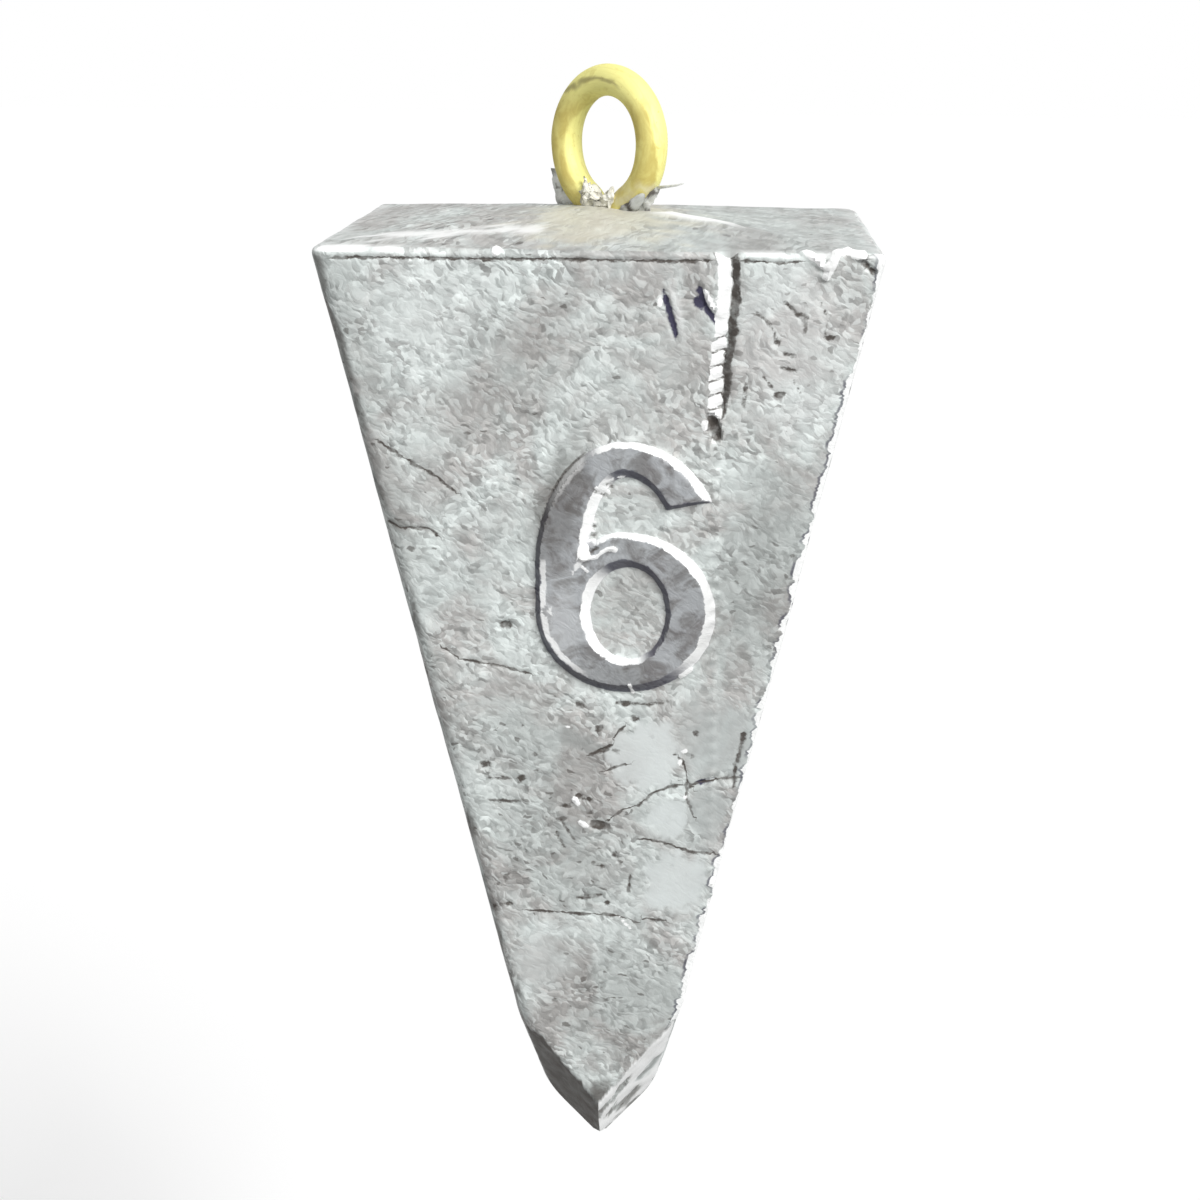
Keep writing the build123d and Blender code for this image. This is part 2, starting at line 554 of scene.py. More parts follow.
@dataclass
class FrontMarks:
    """The cracks, nicks, crumbs and patches on the front side, read off it in millimetres."""

    gouge: Gouge = Gouge()
    cracks: tuple[tuple[Point, ...], ...] = (
        ((0.6, 30.4), (1.3, 29.8), (2.1, 29.5), (2.8, 28.8), (3.7, 28.4), (5.0, 28.2), (6.1, 27.9),
         (7.0, 27.8)),
        ((2.4, 31.5), (3.4, 31.7), (4.2, 32.0), (5.0, 32.3), (6.0, 32.3)),
        ((-3.6, 36.0), (-2.7, 36.0), (-1.2, 36.1), (0.3, 36.1), (1.1, 36.2), (1.9, 36.5)),
        ((2.6, 36.3), (3.5, 36.45)),
        ((-10.5, 9.7), (-9.2, 10.6), (-7.9, 11.4), (-6.9, 12.2)),
        ((-10.4, 13.9), (-9.7, 14.2), (-8.2, 14.2), (-7.9, 14.5)),
        ((-6.6, 21.4), (-5.9, 21.5), (-4.8, 21.7), (-3.4, 22.1)),
        ((-7.6, 20.8), (-7.1, 21.2)),
        ((0.8, 25.6), (1.3, 25.0)),
        ((0.5, 27.5), (1.5, 27.1)),
        ((4.2, 26.7), (4.5, 27.3), (4.6, 28.3), (4.5, 28.9), (4.9, 30.0)),
        ((-0.3, 26.6), (0.6, 26.1)),
        ((-12.2, 0.45), (-9.0, 0.4), (-6.0, 0.45), (-2.0, 0.4), (2.0, 0.45), (5.2, 0.4)),
        ((6.9, 0.4), (8.4, 0.45), (9.4, 0.4)),
    )
    crack_width: float = 0.16
    crack_rise: float = -0.06
    crack_reach: Point = (0.5, 0.3)
    strokes: tuple[Stroke, ...] = (
        # A darker blue mark beside the gouge, partly painted shade on the unlit side of a small ridge.
        Stroke(((4.8, 1.8), (5.1, 2.7), (5.6, 3.4)), 0.17, -0.1, Tone.BLUE),
        Stroke(((9.6, -0.1), (10.1, 0.2), (10.6, 0.6)), 0.15, 0.2, Tone.BARE),
        Stroke(((10.7, 1.1), (11.1, 0.1), (11.6, -0.2)), 0.2, 0.24, Tone.BARE),
        Stroke(((11.6, -0.2), (12.0, 0.1), (12.4, 0.1)), 0.16, 0.2, Tone.BARE),
        Stroke(((12.4, 0.4), (12.9, 0.9)), 0.14, -0.16),
        Stroke(((-0.7, 15.55), (-0.05, 15.4), (0.4, 15.0), (0.8, 14.85)), 0.1, 0.1, Tone.BARE),
        Stroke(((0.0, 11.75), (0.6, 12.1)), 0.1, 0.06, Tone.BARE),
        Stroke(((0.3, 11.55), (0.8, 11.35)), 0.1, 0.06, Tone.BARE),
        Stroke(((1.05, 11.3), (1.35, 11.25)), 0.09, 0.06, Tone.BARE),
        # Bright teeth along the hollow's left wall: fresh metal and painted highlight, like the wall, which
        # faces the light.
        Stroke(((-0.4, 13.2), (-0.05, 13.05)), 0.07, 0.05, Tone.BARE),
        Stroke(((-0.45, 13.6), (-0.02, 13.75)), 0.07, 0.05, Tone.BARE),
        Stroke(((-0.5, 14.15), (-0.1, 14.2)), 0.07, 0.05, Tone.BARE),
        Stroke(((-0.55, 14.7), (0.05, 14.7)), 0.07, 0.05, Tone.BARE),
        Stroke(((-0.75, 15.9), (-0.45, 16.2)), 0.08, 0.04, Tone.BARE),
        Stroke(((-0.15, 11.85), (0.3, 12.25)), 0.07),
        Stroke(((0.4, 11.6), (0.75, 11.85)), 0.07),
        Stroke(((1.65, 22.4), (1.8, 23.0)), 0.08, 0.05, Tone.BARE),
        Stroke(((4.2, 22.0), (4.7, 21.6)), 0.14, 0.1, Tone.BARE),
        Stroke(((1.15, 36.3), (1.8, 37.0)), 0.08, 0.06, Tone.BARE),
        Stroke(((-1.7, 24.9), (-1.3, 25.1)), 0.07, 0.05, Tone.BARE),
        Stroke(((1.6, 23.65), (2.5, 23.7), (3.5, 23.5)), 0.07),
        Stroke(((8.8, 2.4), (9.5, 3.0)), 0.08),
        Stroke(((9.8, 3.0), (9.8, 3.8)), 0.1),
        Stroke(((8.7, 5.6), (9.5, 5.8)), 0.08),
        Stroke(((7.1, 6.5), (7.0, 7.6)), 0.08),
        Stroke(((7.5, 2.9), (8.2, 3.5), (8.5, 4.3)), 0.05),
        Stroke(((10.4, 2.2), (10.9, 3.2), (10.6, 4.2)), 0.04),
        Stroke(((9.3, 6.2), (9.8, 7.1), (9.6, 8.3)), 0.04),
        Stroke(((7.8, 5.9), (8.3, 6.6)), 0.05),
        Stroke(((-5.6, 28.1), (-4.5, 28.1)), 0.07),
        Stroke(((-5.6, 29.4), (-4.0, 29.4)), 0.09),
        Stroke(((-1.9, 29.6), (-1.2, 29.5)), 0.1),
        Stroke(((-1.9, 30.4), (-1.2, 31.6)), 0.07),
        Stroke(((-2.1, 31.2), (-1.7, 32.1)), 0.07),
        Stroke(((0.8, 32.4), (1.3, 33.0)), 0.09),
        Stroke(((-0.2, 33.0), (0.3, 33.2)), 0.1),
        Stroke(((1.7, 33.7), (1.6, 34.7)), 0.07),
        Stroke(((-1.2, 35.2), (0.2, 34.9)), 0.1),
        Stroke(((-5.4, 34.4), (-4.8, 34.4), (-4.8, 33.9)), 0.08),
        Stroke(((-5.9, 34.8), (-5.5, 34.9)), 0.08),
        Stroke(((-5.7, 35.8), (-4.6, 35.6)), 0.1),
        Stroke(((-0.5, 40.8), (0.4, 40.5)), 0.06),
        Stroke(((0.3, 41.5), (1.2, 41.2)), 0.06),
        Stroke(((7.35, 25.6), (7.1, 26.9)), 0.1),
        Stroke(((7.0, 26.9), (6.95, 28.4)), 0.08),
    )
    spots: tuple[Spot, ...] = (
        # Darker blue marks beside the gouge, partly painted shade on the unlit side of small ridges.
        Spot((3.45, 3.05), (1.3, 0.17), 1.3, -0.12, Tone.BLUE),
        Spot((4.82, 2.5), (0.38, 0.27), 0.7, -0.08, Tone.BLUE),
        Spot((5.5, 28.05), (0.6, 0.14), -0.25, -0.06, Tone.BLUE),
        Spot((-0.65, 15.2), (0.3, 0.45), 0, 0.05, Tone.BARE),
        Spot((0.85, 15.0), (0.18, 0.15), 0, 0.06, Tone.BARE),
        Spot((-0.15, 15.05), (0.26, 0.12), -0.5),
        Spot((-0.15, 13.95), (0.12, 0.08)),
        Spot((-0.15, 14.45), (0.14, 0.09)),
        # Painted highlight on the lit side of the ridge marks beside the gouge.
        Spot((5.25, 2.3), (0.6, 0.13), 1.2, 0.08, Tone.BARE),
        Spot((5.62, 8.75), (0.75, 0.3), 1.3, -0.28),
        Spot((2.95, 2.45), (0.12, 0.22), 0, 0.04, Tone.BARE),
        Spot((5.15, 8.6), (0.16, 0.26), 0, 0.08, Tone.BARE),
        Spot((-4.7, 0.1), (0.22, 0.2), 0, 0.16, Tone.BARE),
        Spot((-4.55, 19.4), (0.3, 0.24), 0, -0.14),
        Spot((11.0, 4.1), (0.26, 0.15), 0, -0.06),
        Spot((8.5, 4.4), (0.17, 0.17), 0, -0.06),
        Spot((9.1, 5.0), (0.3, 0.12), 0.3, -0.06),
        Spot((8.7, 7.0), (0.3, 0.18), -0.3, -0.06),
        Spot((1.35, 23.65), (0.4, 0.14), 0, -0.06),
        Spot((-0.9, 23.8), (0.3, 0.14), 0.6, -0.06),
        Spot((1.9, 24.5), (0.28, 0.18), 0, -0.08),
        Spot((5.0, 25.3), (0.2, 0.15), 0.7, -0.06),
        Spot((7.4, 25.3), (0.17, 0.2), 0, -0.06),
        Spot((0.1, 25.1), (0.26, 0.2), 0, -0.05),
        Spot((1.0, 26.4), (0.26, 0.1), 0.2, -0.05),
        Spot((0.3, 26.35), (0.45, 0.14), -0.4, -0.06),
        Spot((-5.7, 27.3), (0.34, 0.2), 0.1, -0.08),
        Spot((-3.9, 28.1), (0.3, 0.2), -0.5, -0.06),
        Spot((-1.1, 29.3), (0.36, 0.15), 1.0, 0.1, Tone.BARE),
        Spot((-0.7, 30.65), (0.34, 0.15), 0.6, 0.1, Tone.BARE),
        Spot((-0.7, 29.1), (0.5, 0.14), 0.35, -0.06),
        Spot((0.15, 30.75), (0.6, 0.26), 0.25, -0.12),
        Spot((4.4, 26.3), (0.18, 0.13), 0, 0.05, Tone.BARE),
        Spot((4.2, 27.0), (0.11, 0.22), 0, 0.05, Tone.BARE),
        Spot((4.5, 29.0), (0.1, 0.16), 0, 0.05, Tone.BARE),
        Spot((3.95, 26.5), (0.16, 0.09), 0, -0.04),
        Spot((4.8, 26.6), (0.1, 0.16), 0, -0.04),
        Spot((0.5, 35.4), (0.16, 0.12), 0, -0.05),
        Spot((-4.6, 35.6), (0.22, 0.17), 0, -0.06),
    )
    patches: tuple[Patch, ...] = (
        # A pale halo, painted highlight, along the lit side of the long blue mark beside the gouge.
        Patch((3.75, 2.8), (1.2, 0.24), 1.3, pale=0.4, edge=0.5),
        Patch((2.4, 26.6), (1.65, 2.1), 0.35, pale=0.2, calm=1.0, edge=0.1),
        Patch((3.7, 30.2), (1.0, 1.2), 0.2, pale=0.14, calm=1.0, edge=0.12),
        Patch((4.1, 34.0), (1.5, 1.8), -0.25, pale=0.15, calm=1.0, edge=0.15),
        Patch((5.7, 29.9), (0.95, 1.7), 0, shade=0.22, calm=0.8, edge=0.2),
        Patch((6.2, 25.6), (1.9, 2.2), 0.2, shade=0.14, calm=0.75, edge=0.3),
        Patch((-3.0, 39.0), (1.5, 2.0), 0, pale=0.03, calm=0.5, edge=0.4),
        Patch((-0.8, 25.9), (1.5, 0.45), 0.4, shade=0.4, calm=0.6, edge=0.3),
        Patch((-1.6, 31.3), (0.7, 0.7), 0.6, shade=0.2, calm=0.6, edge=0.4),
        Patch((0.25, 47.6), (0.8, 0.9), 0, shade=0.85),
        Patch((8.0, 16.5), (2.2, 5.0), 0.2, shade=0.36, calm=0.2, chip=0.3),
        Patch((-4.0, 5.5), (2.6, 3.2), 0.4, shade=0.16),
        Patch((-11.3, 5.0), (1.1, 4.6), -0.2, shade=0.2),
        Patch((-2.6, 26.5), (4.0, 2.5), 0.35, shade=0.23, chip=0.8),
        Patch((-2.0, 32.5), (4.0, 3.6), 0.2, shade=0.26, chip=0.9),
        Patch((1.2, 41.5), (3.6, 3.6), 0, shade=0.3, chip=0.5),
        Patch((9.2, 4.6), (2.4, 4.6), 0, pale=0.24, chip=0.8, edge=0.4),
        Patch((-8.5, 10.5), (3.0, 4.0), 0, chip=0.35),
        Patch((-8.0, 3.0), (2.6, 3.0), 0, pale=0.12, edge=0.5),
        Patch((-10.0, 11.6), (1.6, 0.4), 0.6, shade=0.25),
        Patch((-10.0, 13.5), (1.0, 5.0), -0.22, shade=0.2, chip=0.6, edge=0.5),
        Patch((-7.7, 24.0), (0.8, 4.0), -0.22, shade=0.18, chip=0.6, edge=0.5),
        Patch((-9.9, 14.0), (0.8, 0.35), 0.2, shade=0.6),
        Patch((-1.9, 12.8), (1.1, 3.0), 0.2, shade=0.52, edge=0.5),
        Patch((-1.7, 19.0), (0.9, 2.2), 0, pale=0.14, edge=0.5),
        Patch((4.2, 18.4), (0.9, 2.4), 0, shade=0.1, edge=0.5),
        Patch((1.5, 18.3), (1.3, 1.8), 0.3, shade=0.12, chip=0.3),
        Patch((0.6, 22.0), (2.6, 0.7), 0.1, shade=0.33, edge=0.5),
    )
    ragged_size: float = 0.55
    drift_size: float = 1.5
    mark_edge: float = 0.08
    stray_share: float = 0.45
    lit_right: float = 0.8
    lit_up: float = 0.6
    lit_step: Point = (-0.15, 0.35)
    left_step: Point = (-0.1, -0.4)
    left_zone: Point = (0.6, -0.2)
    upper_lit: float = 0.75
    upper_fade: float = 2.5
    lower_fade: float = 0.2
    edge_break: Point = (13.6, 15.5)

    def paint(self, across: Array, down: Array, numeral: Numeral) -> tuple[Array, Masks]:
        """Works out what the marks do to points of the front.

        Args:
            across: Places to the right of the side's middle.
            down: Places below the crown edge.
            numeral: The raised numeral.

        Returns:
            The rise above the plain side, in millimetres, and the masks.
        """
        flat = np.stack([across, down, 0 * across], axis=-1)
        ragged = cast_noise(flat, self.ragged_size, 3, 12.3)
        drift = cast_noise(flat, self.drift_size, 3, 77.1)
        masks = blank_masks(across.shape)
        # The gouge's near wall takes painted highlight and its far wall painted shade.
        rise, masks[Mask.BARE_GAP], masks[Mask.DARK_GAP] = self.gouge.cut(across, down, ragged)
        nearest = np.full(across.shape, np.inf)
        for points in self.cracks:
            gap, signed = Stroke(points).measure(across, down)
            closer = gap < nearest
            nearest = np.where(closer, gap, nearest)
            masks[Mask.CRACK_OFFSET] = np.where(closer, signed, masks[Mask.CRACK_OFFSET])
        masks[Mask.CRACK_DEPTH] = fade(nearest, *self.crack_reach)
        rise = rise + self.crack_rise * fade(nearest, self.crack_width, 0)
        for mark in (*self.strokes, *self.spots):
            gap = mark.gap(across, down)
            rise = rise + mark.rise * fade(gap, self.mark_edge, -self.mark_edge)
            masks[mark.tone.mask] = np.minimum(masks[mark.tone.mask], gap)
        for patch in self.patches:
            stray = self.stray_share * min(patch.reach)
            cover = patch.cover(across + stray * drift, down + stray * ragged)
            paint_over(masks, Mask.PALE, patch.pale * cover)
            paint_over(masks, Mask.SHADE, patch.shade * cover)
            paint_over(masks, Mask.CALM, patch.calm * cover)
            paint_over(masks, Mask.CHIPPED, patch.chip * cover)
        self.paint_numeral(across, down, numeral, masks)
        return rise + numeral.relief * numeral.wall_share(across, down), masks

    def paint_numeral(self, across: Array, down: Array, numeral: Numeral, masks: Masks) -> None:
        """Measures the numeral's walls for its finish, and says which walls and edges take painted highlight,
        as they face the light, and where painted shadow lines the foot of the upper left wall.

        Args:
            across: Places to the right of the side's middle.
            down: Places below the crown edge.
            numeral: The raised numeral.
            masks: The masks, which are changed.
        """
        masks[Mask.FOOT_GAP] = np.clip(numeral.foot(across, down), -FAR, FAR)
        masks[Mask.TOP_GAP] = np.clip(numeral.top(across, down), -FAR, FAR)
        _, right, below = numeral.slope(numeral.top, across, down)
        # Walls that face right and up take painted highlight, as do the upper outer left walls.
        lit = fade(self.lit_right * right - self.lit_up * below, *self.lit_step)
        from_quarter = across - numeral.shift + numeral.width / 4
        outer_left = fade(right, *self.left_step) * fade(from_quarter, *self.left_zone)
        over, under = self.edge_break
        upper = outer_left * fade(down, over, over - self.upper_fade)
        masks[Mask.WALL_LIT] = np.maximum(lit, self.upper_lit * upper)
        masks[Mask.EDGE_LIT] = outer_left * fade(down, under, under + self.lower_fade) - upper


@dataclass
class Skin:
    """The grid of points on the casting's skin: rings run down from the crown, columns run round it."""

    points: Array
    across: Array
    down: Array
    side: Array
    share: Array
    half: Array
    facet: Array
    rise: Array
    crown_rings: int

    def normals(self) -> Array:
        """Works out which way the skin faces.

        Returns:
            The outward direction at every point.
        """
        round_it = np.roll(self.points, -1, axis=1) - np.roll(self.points, 1, axis=1)
        down_it = np.gradient(self.points, axis=0)
        outward = np.cross(down_it, round_it)
        return outward / np.maximum(np.linalg.norm(outward, axis=-1, keepdims=True), TINY)

    def corner_gap(self, parted: bool) -> Array:
        """Measures how far along their side points lie from an arris of one kind.

        Args:
            parted: Whether it is one on which the mould parted, or one deep in the mould.

        Returns:
            The distance, without end on the half side that has the other kind.
        """
        at_right = self.share > 0
        is_parted = (self.side % 2 == 0) == at_right
        gap = self.half[:, None] * (1 - np.abs(self.share))
        return np.where(is_parted == parted, gap, np.inf)


@dataclass
class LeadCasting:
    """The lead body: a hipped crown, four tapered sides, a faceted point and the mould's flash.

    Lengths are in millimetres and angles in radians. A pair of numbers gives where a fade starts and ends.
    """

    base_side: float = 27.0
    body_height: float = 50.2
    crown_rise: float = 1.2
    loop_height: float = 3.05
    point_side: float = 4.75
    point_taper: float = radians(34.5)
    point_flat: float = 0.5
    deep_radius: float = 0.8
    parted_radius: float = 0.12
    rim_setback: float = 0.42
    facet_softness: float = 0.075
    ridge_softness: float = 0.16
    round_shares: Point = (0.02, 0.6)
    facet_edge: float = 0.97
    crease: float = radians(38)
    front_stations: tuple[tuple[float, int], ...] = (
        (-0.9, 10),
        (-0.38, 24),
        (0.72, 96),
        (0.92, 11),
        (1.0, 10),
    )
    plain_stations: tuple[tuple[float, int], ...] = ((-0.9, 8), (0.9, 28), (1.0, 8))
    crown_rings: int = 18
    inner_ring: float = 0.3
    rim_rings: int = 6
    side_rows: tuple[Point, ...] = ((9.5, 0.13), (23.7, 0.12), (51.0, 0.22))
    snap_reach: float = 0.06
    sag: float = 0.07
    sag_size: float = 9.0
    ripple: float = 0.022
    ripple_size: float = 1.6
    wear_size: float = 7.0
    wear: tuple[tuple[Mask, float, float, float], ...] = (
        (Mask.CRACKED, 0.14, 0.3, 0.85),
        (Mask.CHIPPED, 0.0, 0.3, 0.8),
        (Mask.CALM, 0.26, 0.38, 0.8),
        (Mask.SHADE, 0.1, 0.4, 0.25),
    )
    flash_reach: float = 0.06
    flash_width: float = 0.14
    flash_level: float = 0.25
    jag_size: float = 0.6
    jag_rise: float = 1.53
    jag_drag: float = 0.12
    nick_size: float = 2.2
    nick_reach: Point = (0.7, 0.2)
    nick_shade: float = 0.6
    facet_rough: float = 0.1
    facet_stray: float = 0.06
    facet_stray_size: float = 0.6
    groove_stretch: float = 0.42
    groove_size: float = 0.85
    torn_pale: float = 0.95
    torn_shade: float = 0.42
    facet_shade: float = 0.9
    facet_shade_mottle: float = 0.12
    shaded_facet_calm: float = 0.6
    crown_lump: float = 1.3
    crown_shade: float = 0.14
    crown_patch: float = 0.18
    patch_from: Point = (0.0, 6.0)
    crown_calm: float = 0.35
    calm_from: Point = (-1.0, 4.0)
    crown_drag: float = 0.35
    rim_shade: float = 0.3
    rim_shade_left: Point = (-8.0, -6.0)
    rim_shade_right: Point = (6.0, 5.0)
    rim_pale: float = 0.3
    left_rim_highlight: Point = (-6.5, -11.0)
    right_rim_bare: Point = (6.3, 6.8)
    right_rim_pale: float = 0.5
    pale_rim_rings: int = 4
    ridge_start: float = 3.2
    ridge_onset: float = 1.0
    ridge_end: float = 10.0
    ridge_run_out: float = 2.0
    ridge_rise: float = 0.16
    ridge_width: float = 0.85
    ridge_top: float = 0.35
    paler: Stroke = Stroke(((-10.7, -9.6), (-7.5, -9.4), (-4.0, -8.0)))
    paler_edge: Point = (1.3, 0.5)
    paler_share: float = 0.8
    paler_stray: float = 1.4
    stain_middle: Point = (0.0, -4.5)
    stain_reach: Point = (4.2, 7.0)
    stain_edge: Point = (1.3, 0.5)
    stain_stray: float = 0.6
    stain_cover: float = 0.6
    sheet_step: float = 45.0
    crown_sheet: Point = (0.0, -60.0)
    numeral: Numeral = Numeral()
    marks: FrontMarks = field(default_factory=FrontMarks)

    @property
    def taper(self) -> float:
        """The lean of the sides from the axis, in radians."""
        return atan2((self.base_side - self.point_side) / 2, self.body_height)

    @property
    def edge_level(self) -> float:
        """The level of the crown edge on the axis."""
        return -self.loop_height - self.crown_rise

    @property
    def point_level(self) -> float:
        """The level at which the point's facets would meet."""
        return self.edge_level - self.body_height

    def columns(self) -> tuple[Array, Array]:
        """Lays out the columns.

        Returns:
            The share of the half side, from -1 to 1, and the side's number, for each column.
        """
        shares, sides = [], []
        for side in Side:
            stations = self.front_stations if side is Side.FRONT else self.plain_stations
            start = -1.0
            for end, count in stations:
                shares.append(np.linspace(start, end, count, endpoint=False))
                sides.append(np.full(count, side.value))
                start = end
        return np.concatenate(shares), np.concatenate(sides)

    def rings(self) -> tuple[Array, Array, Array]:
        """Lays out the rings, from the middle of the crown to the land at the point.

        Returns:
            The half side, the level, and the distance down the slope of each ring.
        """
        half = self.base_side / 2
        slope = self.crown_rise / half
        crown_half = np.linspace(self.inner_ring, half - self.rim_setback, self.crown_rings)
        crown_level = self.edge_level + self.crown_rise - crown_half * slope
        turn = np.linspace(0, 1, self.rim_rings + 2)[1:-1]
        inner, outer = (1 - turn) ** 2, turn**2
        setback = self.rim_setback
        rim_half = half - setback * inner - setback * sin(self.taper) * outer
        rim_level = self.edge_level + setback * slope * inner - setback * cos(self.taper) * outer
        rows, start = [], setback
        for end, step in self.side_rows:
            rows.append(np.linspace(start, end, round((end - start) / step), endpoint=False))
            start = end
        land = self.body_height - self.point_flat / 2 / tan(self.point_taper)
        row = np.concatenate(rows)
        row = np.append(row[row < land / cos(self.taper)], land / cos(self.taper))
        side_half = half - row * sin(self.taper)
        side_level = self.edge_level - row * cos(self.taper)
        halves = np.concatenate([crown_half, rim_half, side_half])
        levels = np.concatenate([crown_level, rim_level, side_level])
        return halves, levels, (self.edge_level - levels) / cos(self.taper)

    def skin(self) -> Skin:
        """Lays out the plain skin, with its corners and facets and no marks.

        Returns:
            The grid of points.
        """
        share, side = self.columns()
        half, level, down = self.rings()
        wide = half[:, None]
        parted = (side % 2 == 0) == (share > 0)
        radius = np.where(parted, self.parted_radius, self.deep_radius)
        crown = np.arange(len(half))[:, None] < self.crown_rings
        inset = np.where(crown, self.base_side / 2 - wide, 0)
        least, most = self.round_shares
        radius = np.clip(radius - inset, least * wide, most * wide)
        flat = 1 - radius / wide
        turn = np.clip((np.abs(share) - flat) * wide / radius, 0, 1) * pi / 4
        beside = np.where(np.abs(share) <= flat, np.abs(share) * wide, wide - radius + radius * np.sin(turn))
        beside = np.sign(share) * beside
        out = wide - radius + radius * np.cos(turn)
        along = np.array([Side(number).along for number in side])
        outward = np.array([Side(number).outward for number in side])
        points = beside[..., None] * along + out[..., None] * outward
        points[..., 2] = level[:, None]
        wide_of_axis, deep_of_axis = np.abs(points[..., 0]), np.abs(points[..., 1])
        reach = np.maximum(wide_of_axis + deep_of_axis, TINY)
        limit = sqrt(2) * tan(self.point_taper) * (level[:, None] - self.point_level)
        keep = limit / reach
        sideways = (wide_of_axis - deep_of_axis) / reach
        softness = self.facet_softness + self.ridge_softness * np.clip(sideways, 0, 1)
        soft = np.clip(1 - np.abs(keep - 1) / softness, 0, None)
        kept = np.minimum(keep, 1) - soft**2 * softness / 4
        points[..., :2] *= np.where(crown, 1, kept)[..., None]
        ragged = self.facet_stray * cast_noise(points, self.facet_stray_size, 3, 71.7)
        facet = np.where(crown, 0, fade(keep + ragged, 1, self.facet_edge))
        across = share * wide
        rise = 0 * across
        return Skin(points, across, down[:, None] + rise, side, share, half, facet, rise, self.crown_rings)

    def shaped(self, skin: Skin) -> Masks:
        """Gives the skin its numeral, marks, flash and unevenness.

        Args:
            skin: The plain skin, whose points are changed.

        Returns:
            The masks for its finish.
        """
        normals = skin.normals()
        plain = skin.points.copy()
        front = skin.side == Side.FRONT.value
        below = np.arange(len(skin.half)) >= self.crown_rings
        block = np.ix_(below, front)
        across, down = skin.across[block], skin.down[block]
        moved_across, moved_down = self.numeral.snapped(across, down, self.snap_reach)
        slope = np.array([0, sin(self.taper), -cos(self.taper)])
        skin.points[block] += (moved_across - across)[..., None] * Side.FRONT.along
        skin.points[block] += (moved_down - down)[..., None] * slope
        rise = skin.rise
        masks = blank_masks(skin.across.shape)
        rise[block], painted = self.marks.paint(moved_across, moved_down, self.numeral)
        for mask, values in painted.items():
            masks[mask][block] = values
        self.wear_sides(plain, below[:, None] & ~front, masks)
        rise += self.sag * cast_noise(plain, self.sag_size, 2, 3.1)
        rise += self.ripple * cast_noise(plain, self.ripple_size, 2, 17.7)
        self.cast_point(skin, plain, rise, masks)
        self.cast_crown(skin, plain, rise, masks)
        skin.points += rise[..., None] * normals
        self.cast_flash(skin, plain, masks)
        return masks

    def wear_sides(self, plain: Array, worn: Array, masks: Masks) -> None:
        """Spreads cracks, chips, smooth and shaded patches over the sides without a numeral.

        Args:
            plain: The points before any rise.
            worn: Which points lie on those sides.
            masks: The masks, which are changed.
        """
        for number, (mask, start, end, most) in enumerate(self.wear):
            drift = cast_noise(plain, self.wear_size, 3, 50.0 + 9 * number)
            masks[mask] = np.where(worn, most * fade(drift, start, end), masks[mask])

    def cast_point(self, skin: Skin, plain: Array, rise: Array, masks: Masks) -> None:
        """Tears the snipped facet at the front right of the point along its front edge and paints it pale,
        partly painted highlight, and paints shade on the other facets.

        Args:
            skin: The grid of points.
            plain: The points before any rise.
            rise: The rise of each point, which is changed.
            masks: The masks, which are changed.
        """
        torn = skin.facet * (plain[..., 0] > 0) * (plain[..., 1] < 0)
        shaded_facets = skin.facet - torn
        edge = np.array([sqrt(2) * tan(self.point_taper) - tan(self.taper), -tan(self.taper), 1.0])
        edge /= np.linalg.norm(edge)
        level = cos(self.point_taper) / sqrt(2)
        facing = np.array([level, -level, -sin(self.point_taper)])
        run = plain @ edge
        grooved = np.stack([self.groove_stretch * run, plain @ np.cross(edge, facing), 0 * run], axis=-1)
        streaks = cast_noise(grooved, self.groove_size, 5, 41.3)
        mottle = cast_noise(plain, self.groove_size, 3, 41.3)
        rise += torn * self.facet_rough * streaks
        # The snipped facet faces the light: painted pale as painted highlight, with darker streaks.
        paint_over(masks, Mask.PALE, torn * fade(streaks, -0.3, 0.0) * self.torn_pale)
        paint_over(masks, Mask.SHADE, torn * fade(streaks, -0.12, -0.4) * self.torn_shade)
        # Painted shade on the other facets, which face away from the light.
        paint_over(masks, Mask.SHADE, shaded_facets * (self.facet_shade + self.facet_shade_mottle * mottle))
        paint_over(masks, Mask.CALM, self.shaded_facet_calm * shaded_facets)

    def cast_crown(self, skin: Skin, plain: Array, rise: Array, masks: Masks) -> None:
        """Lays the parting ridge, a pale streak and the stain round the eye on the crown, darkens and calms
        the crown in patches, paints highlight along the rims, and darkens the middle of the front rim.

        Args:
            skin: The grid of points.
            plain: The points before any rise.
            rise: The rise of each point, which is changed.
            masks: The masks, which are changed.
        """
        rings = np.arange(len(skin.half))[:, None]
        crown = rings < skin.crown_rings
        rim = (rings >= skin.crown_rings - 1) & (rings < skin.crown_rings + self.rim_rings)
        x, y = plain[..., 0], plain[..., 1]
        along = (x - y) / sqrt(2)
        beside = np.abs(x + y) / sqrt(2)
        lumps = cast_noise(plain, self.crown_lump, 2, 9.4)
        ridge = crown * fade(beside, self.ridge_width, self.ridge_top)
        ridge *= fade(along, self.ridge_start, self.ridge_start + self.ridge_onset)
        ridge *= fade(along, self.ridge_end, self.ridge_end - self.ridge_run_out)
        rise += self.ridge_rise * ridge
        paint_over(masks, Mask.PALE, ridge * fade(lumps, -0.5, 0))
        # A pale streak across the front left of the crown.
        gap, _ = self.paler.measure(x, y)
        streak = fade(gap + self.paler_stray * lumps, *self.paler_edge)
        paint_over(masks, Mask.PALE, self.paler_share * crown * streak)
        front = rim & (skin.side == Side.FRONT.value)
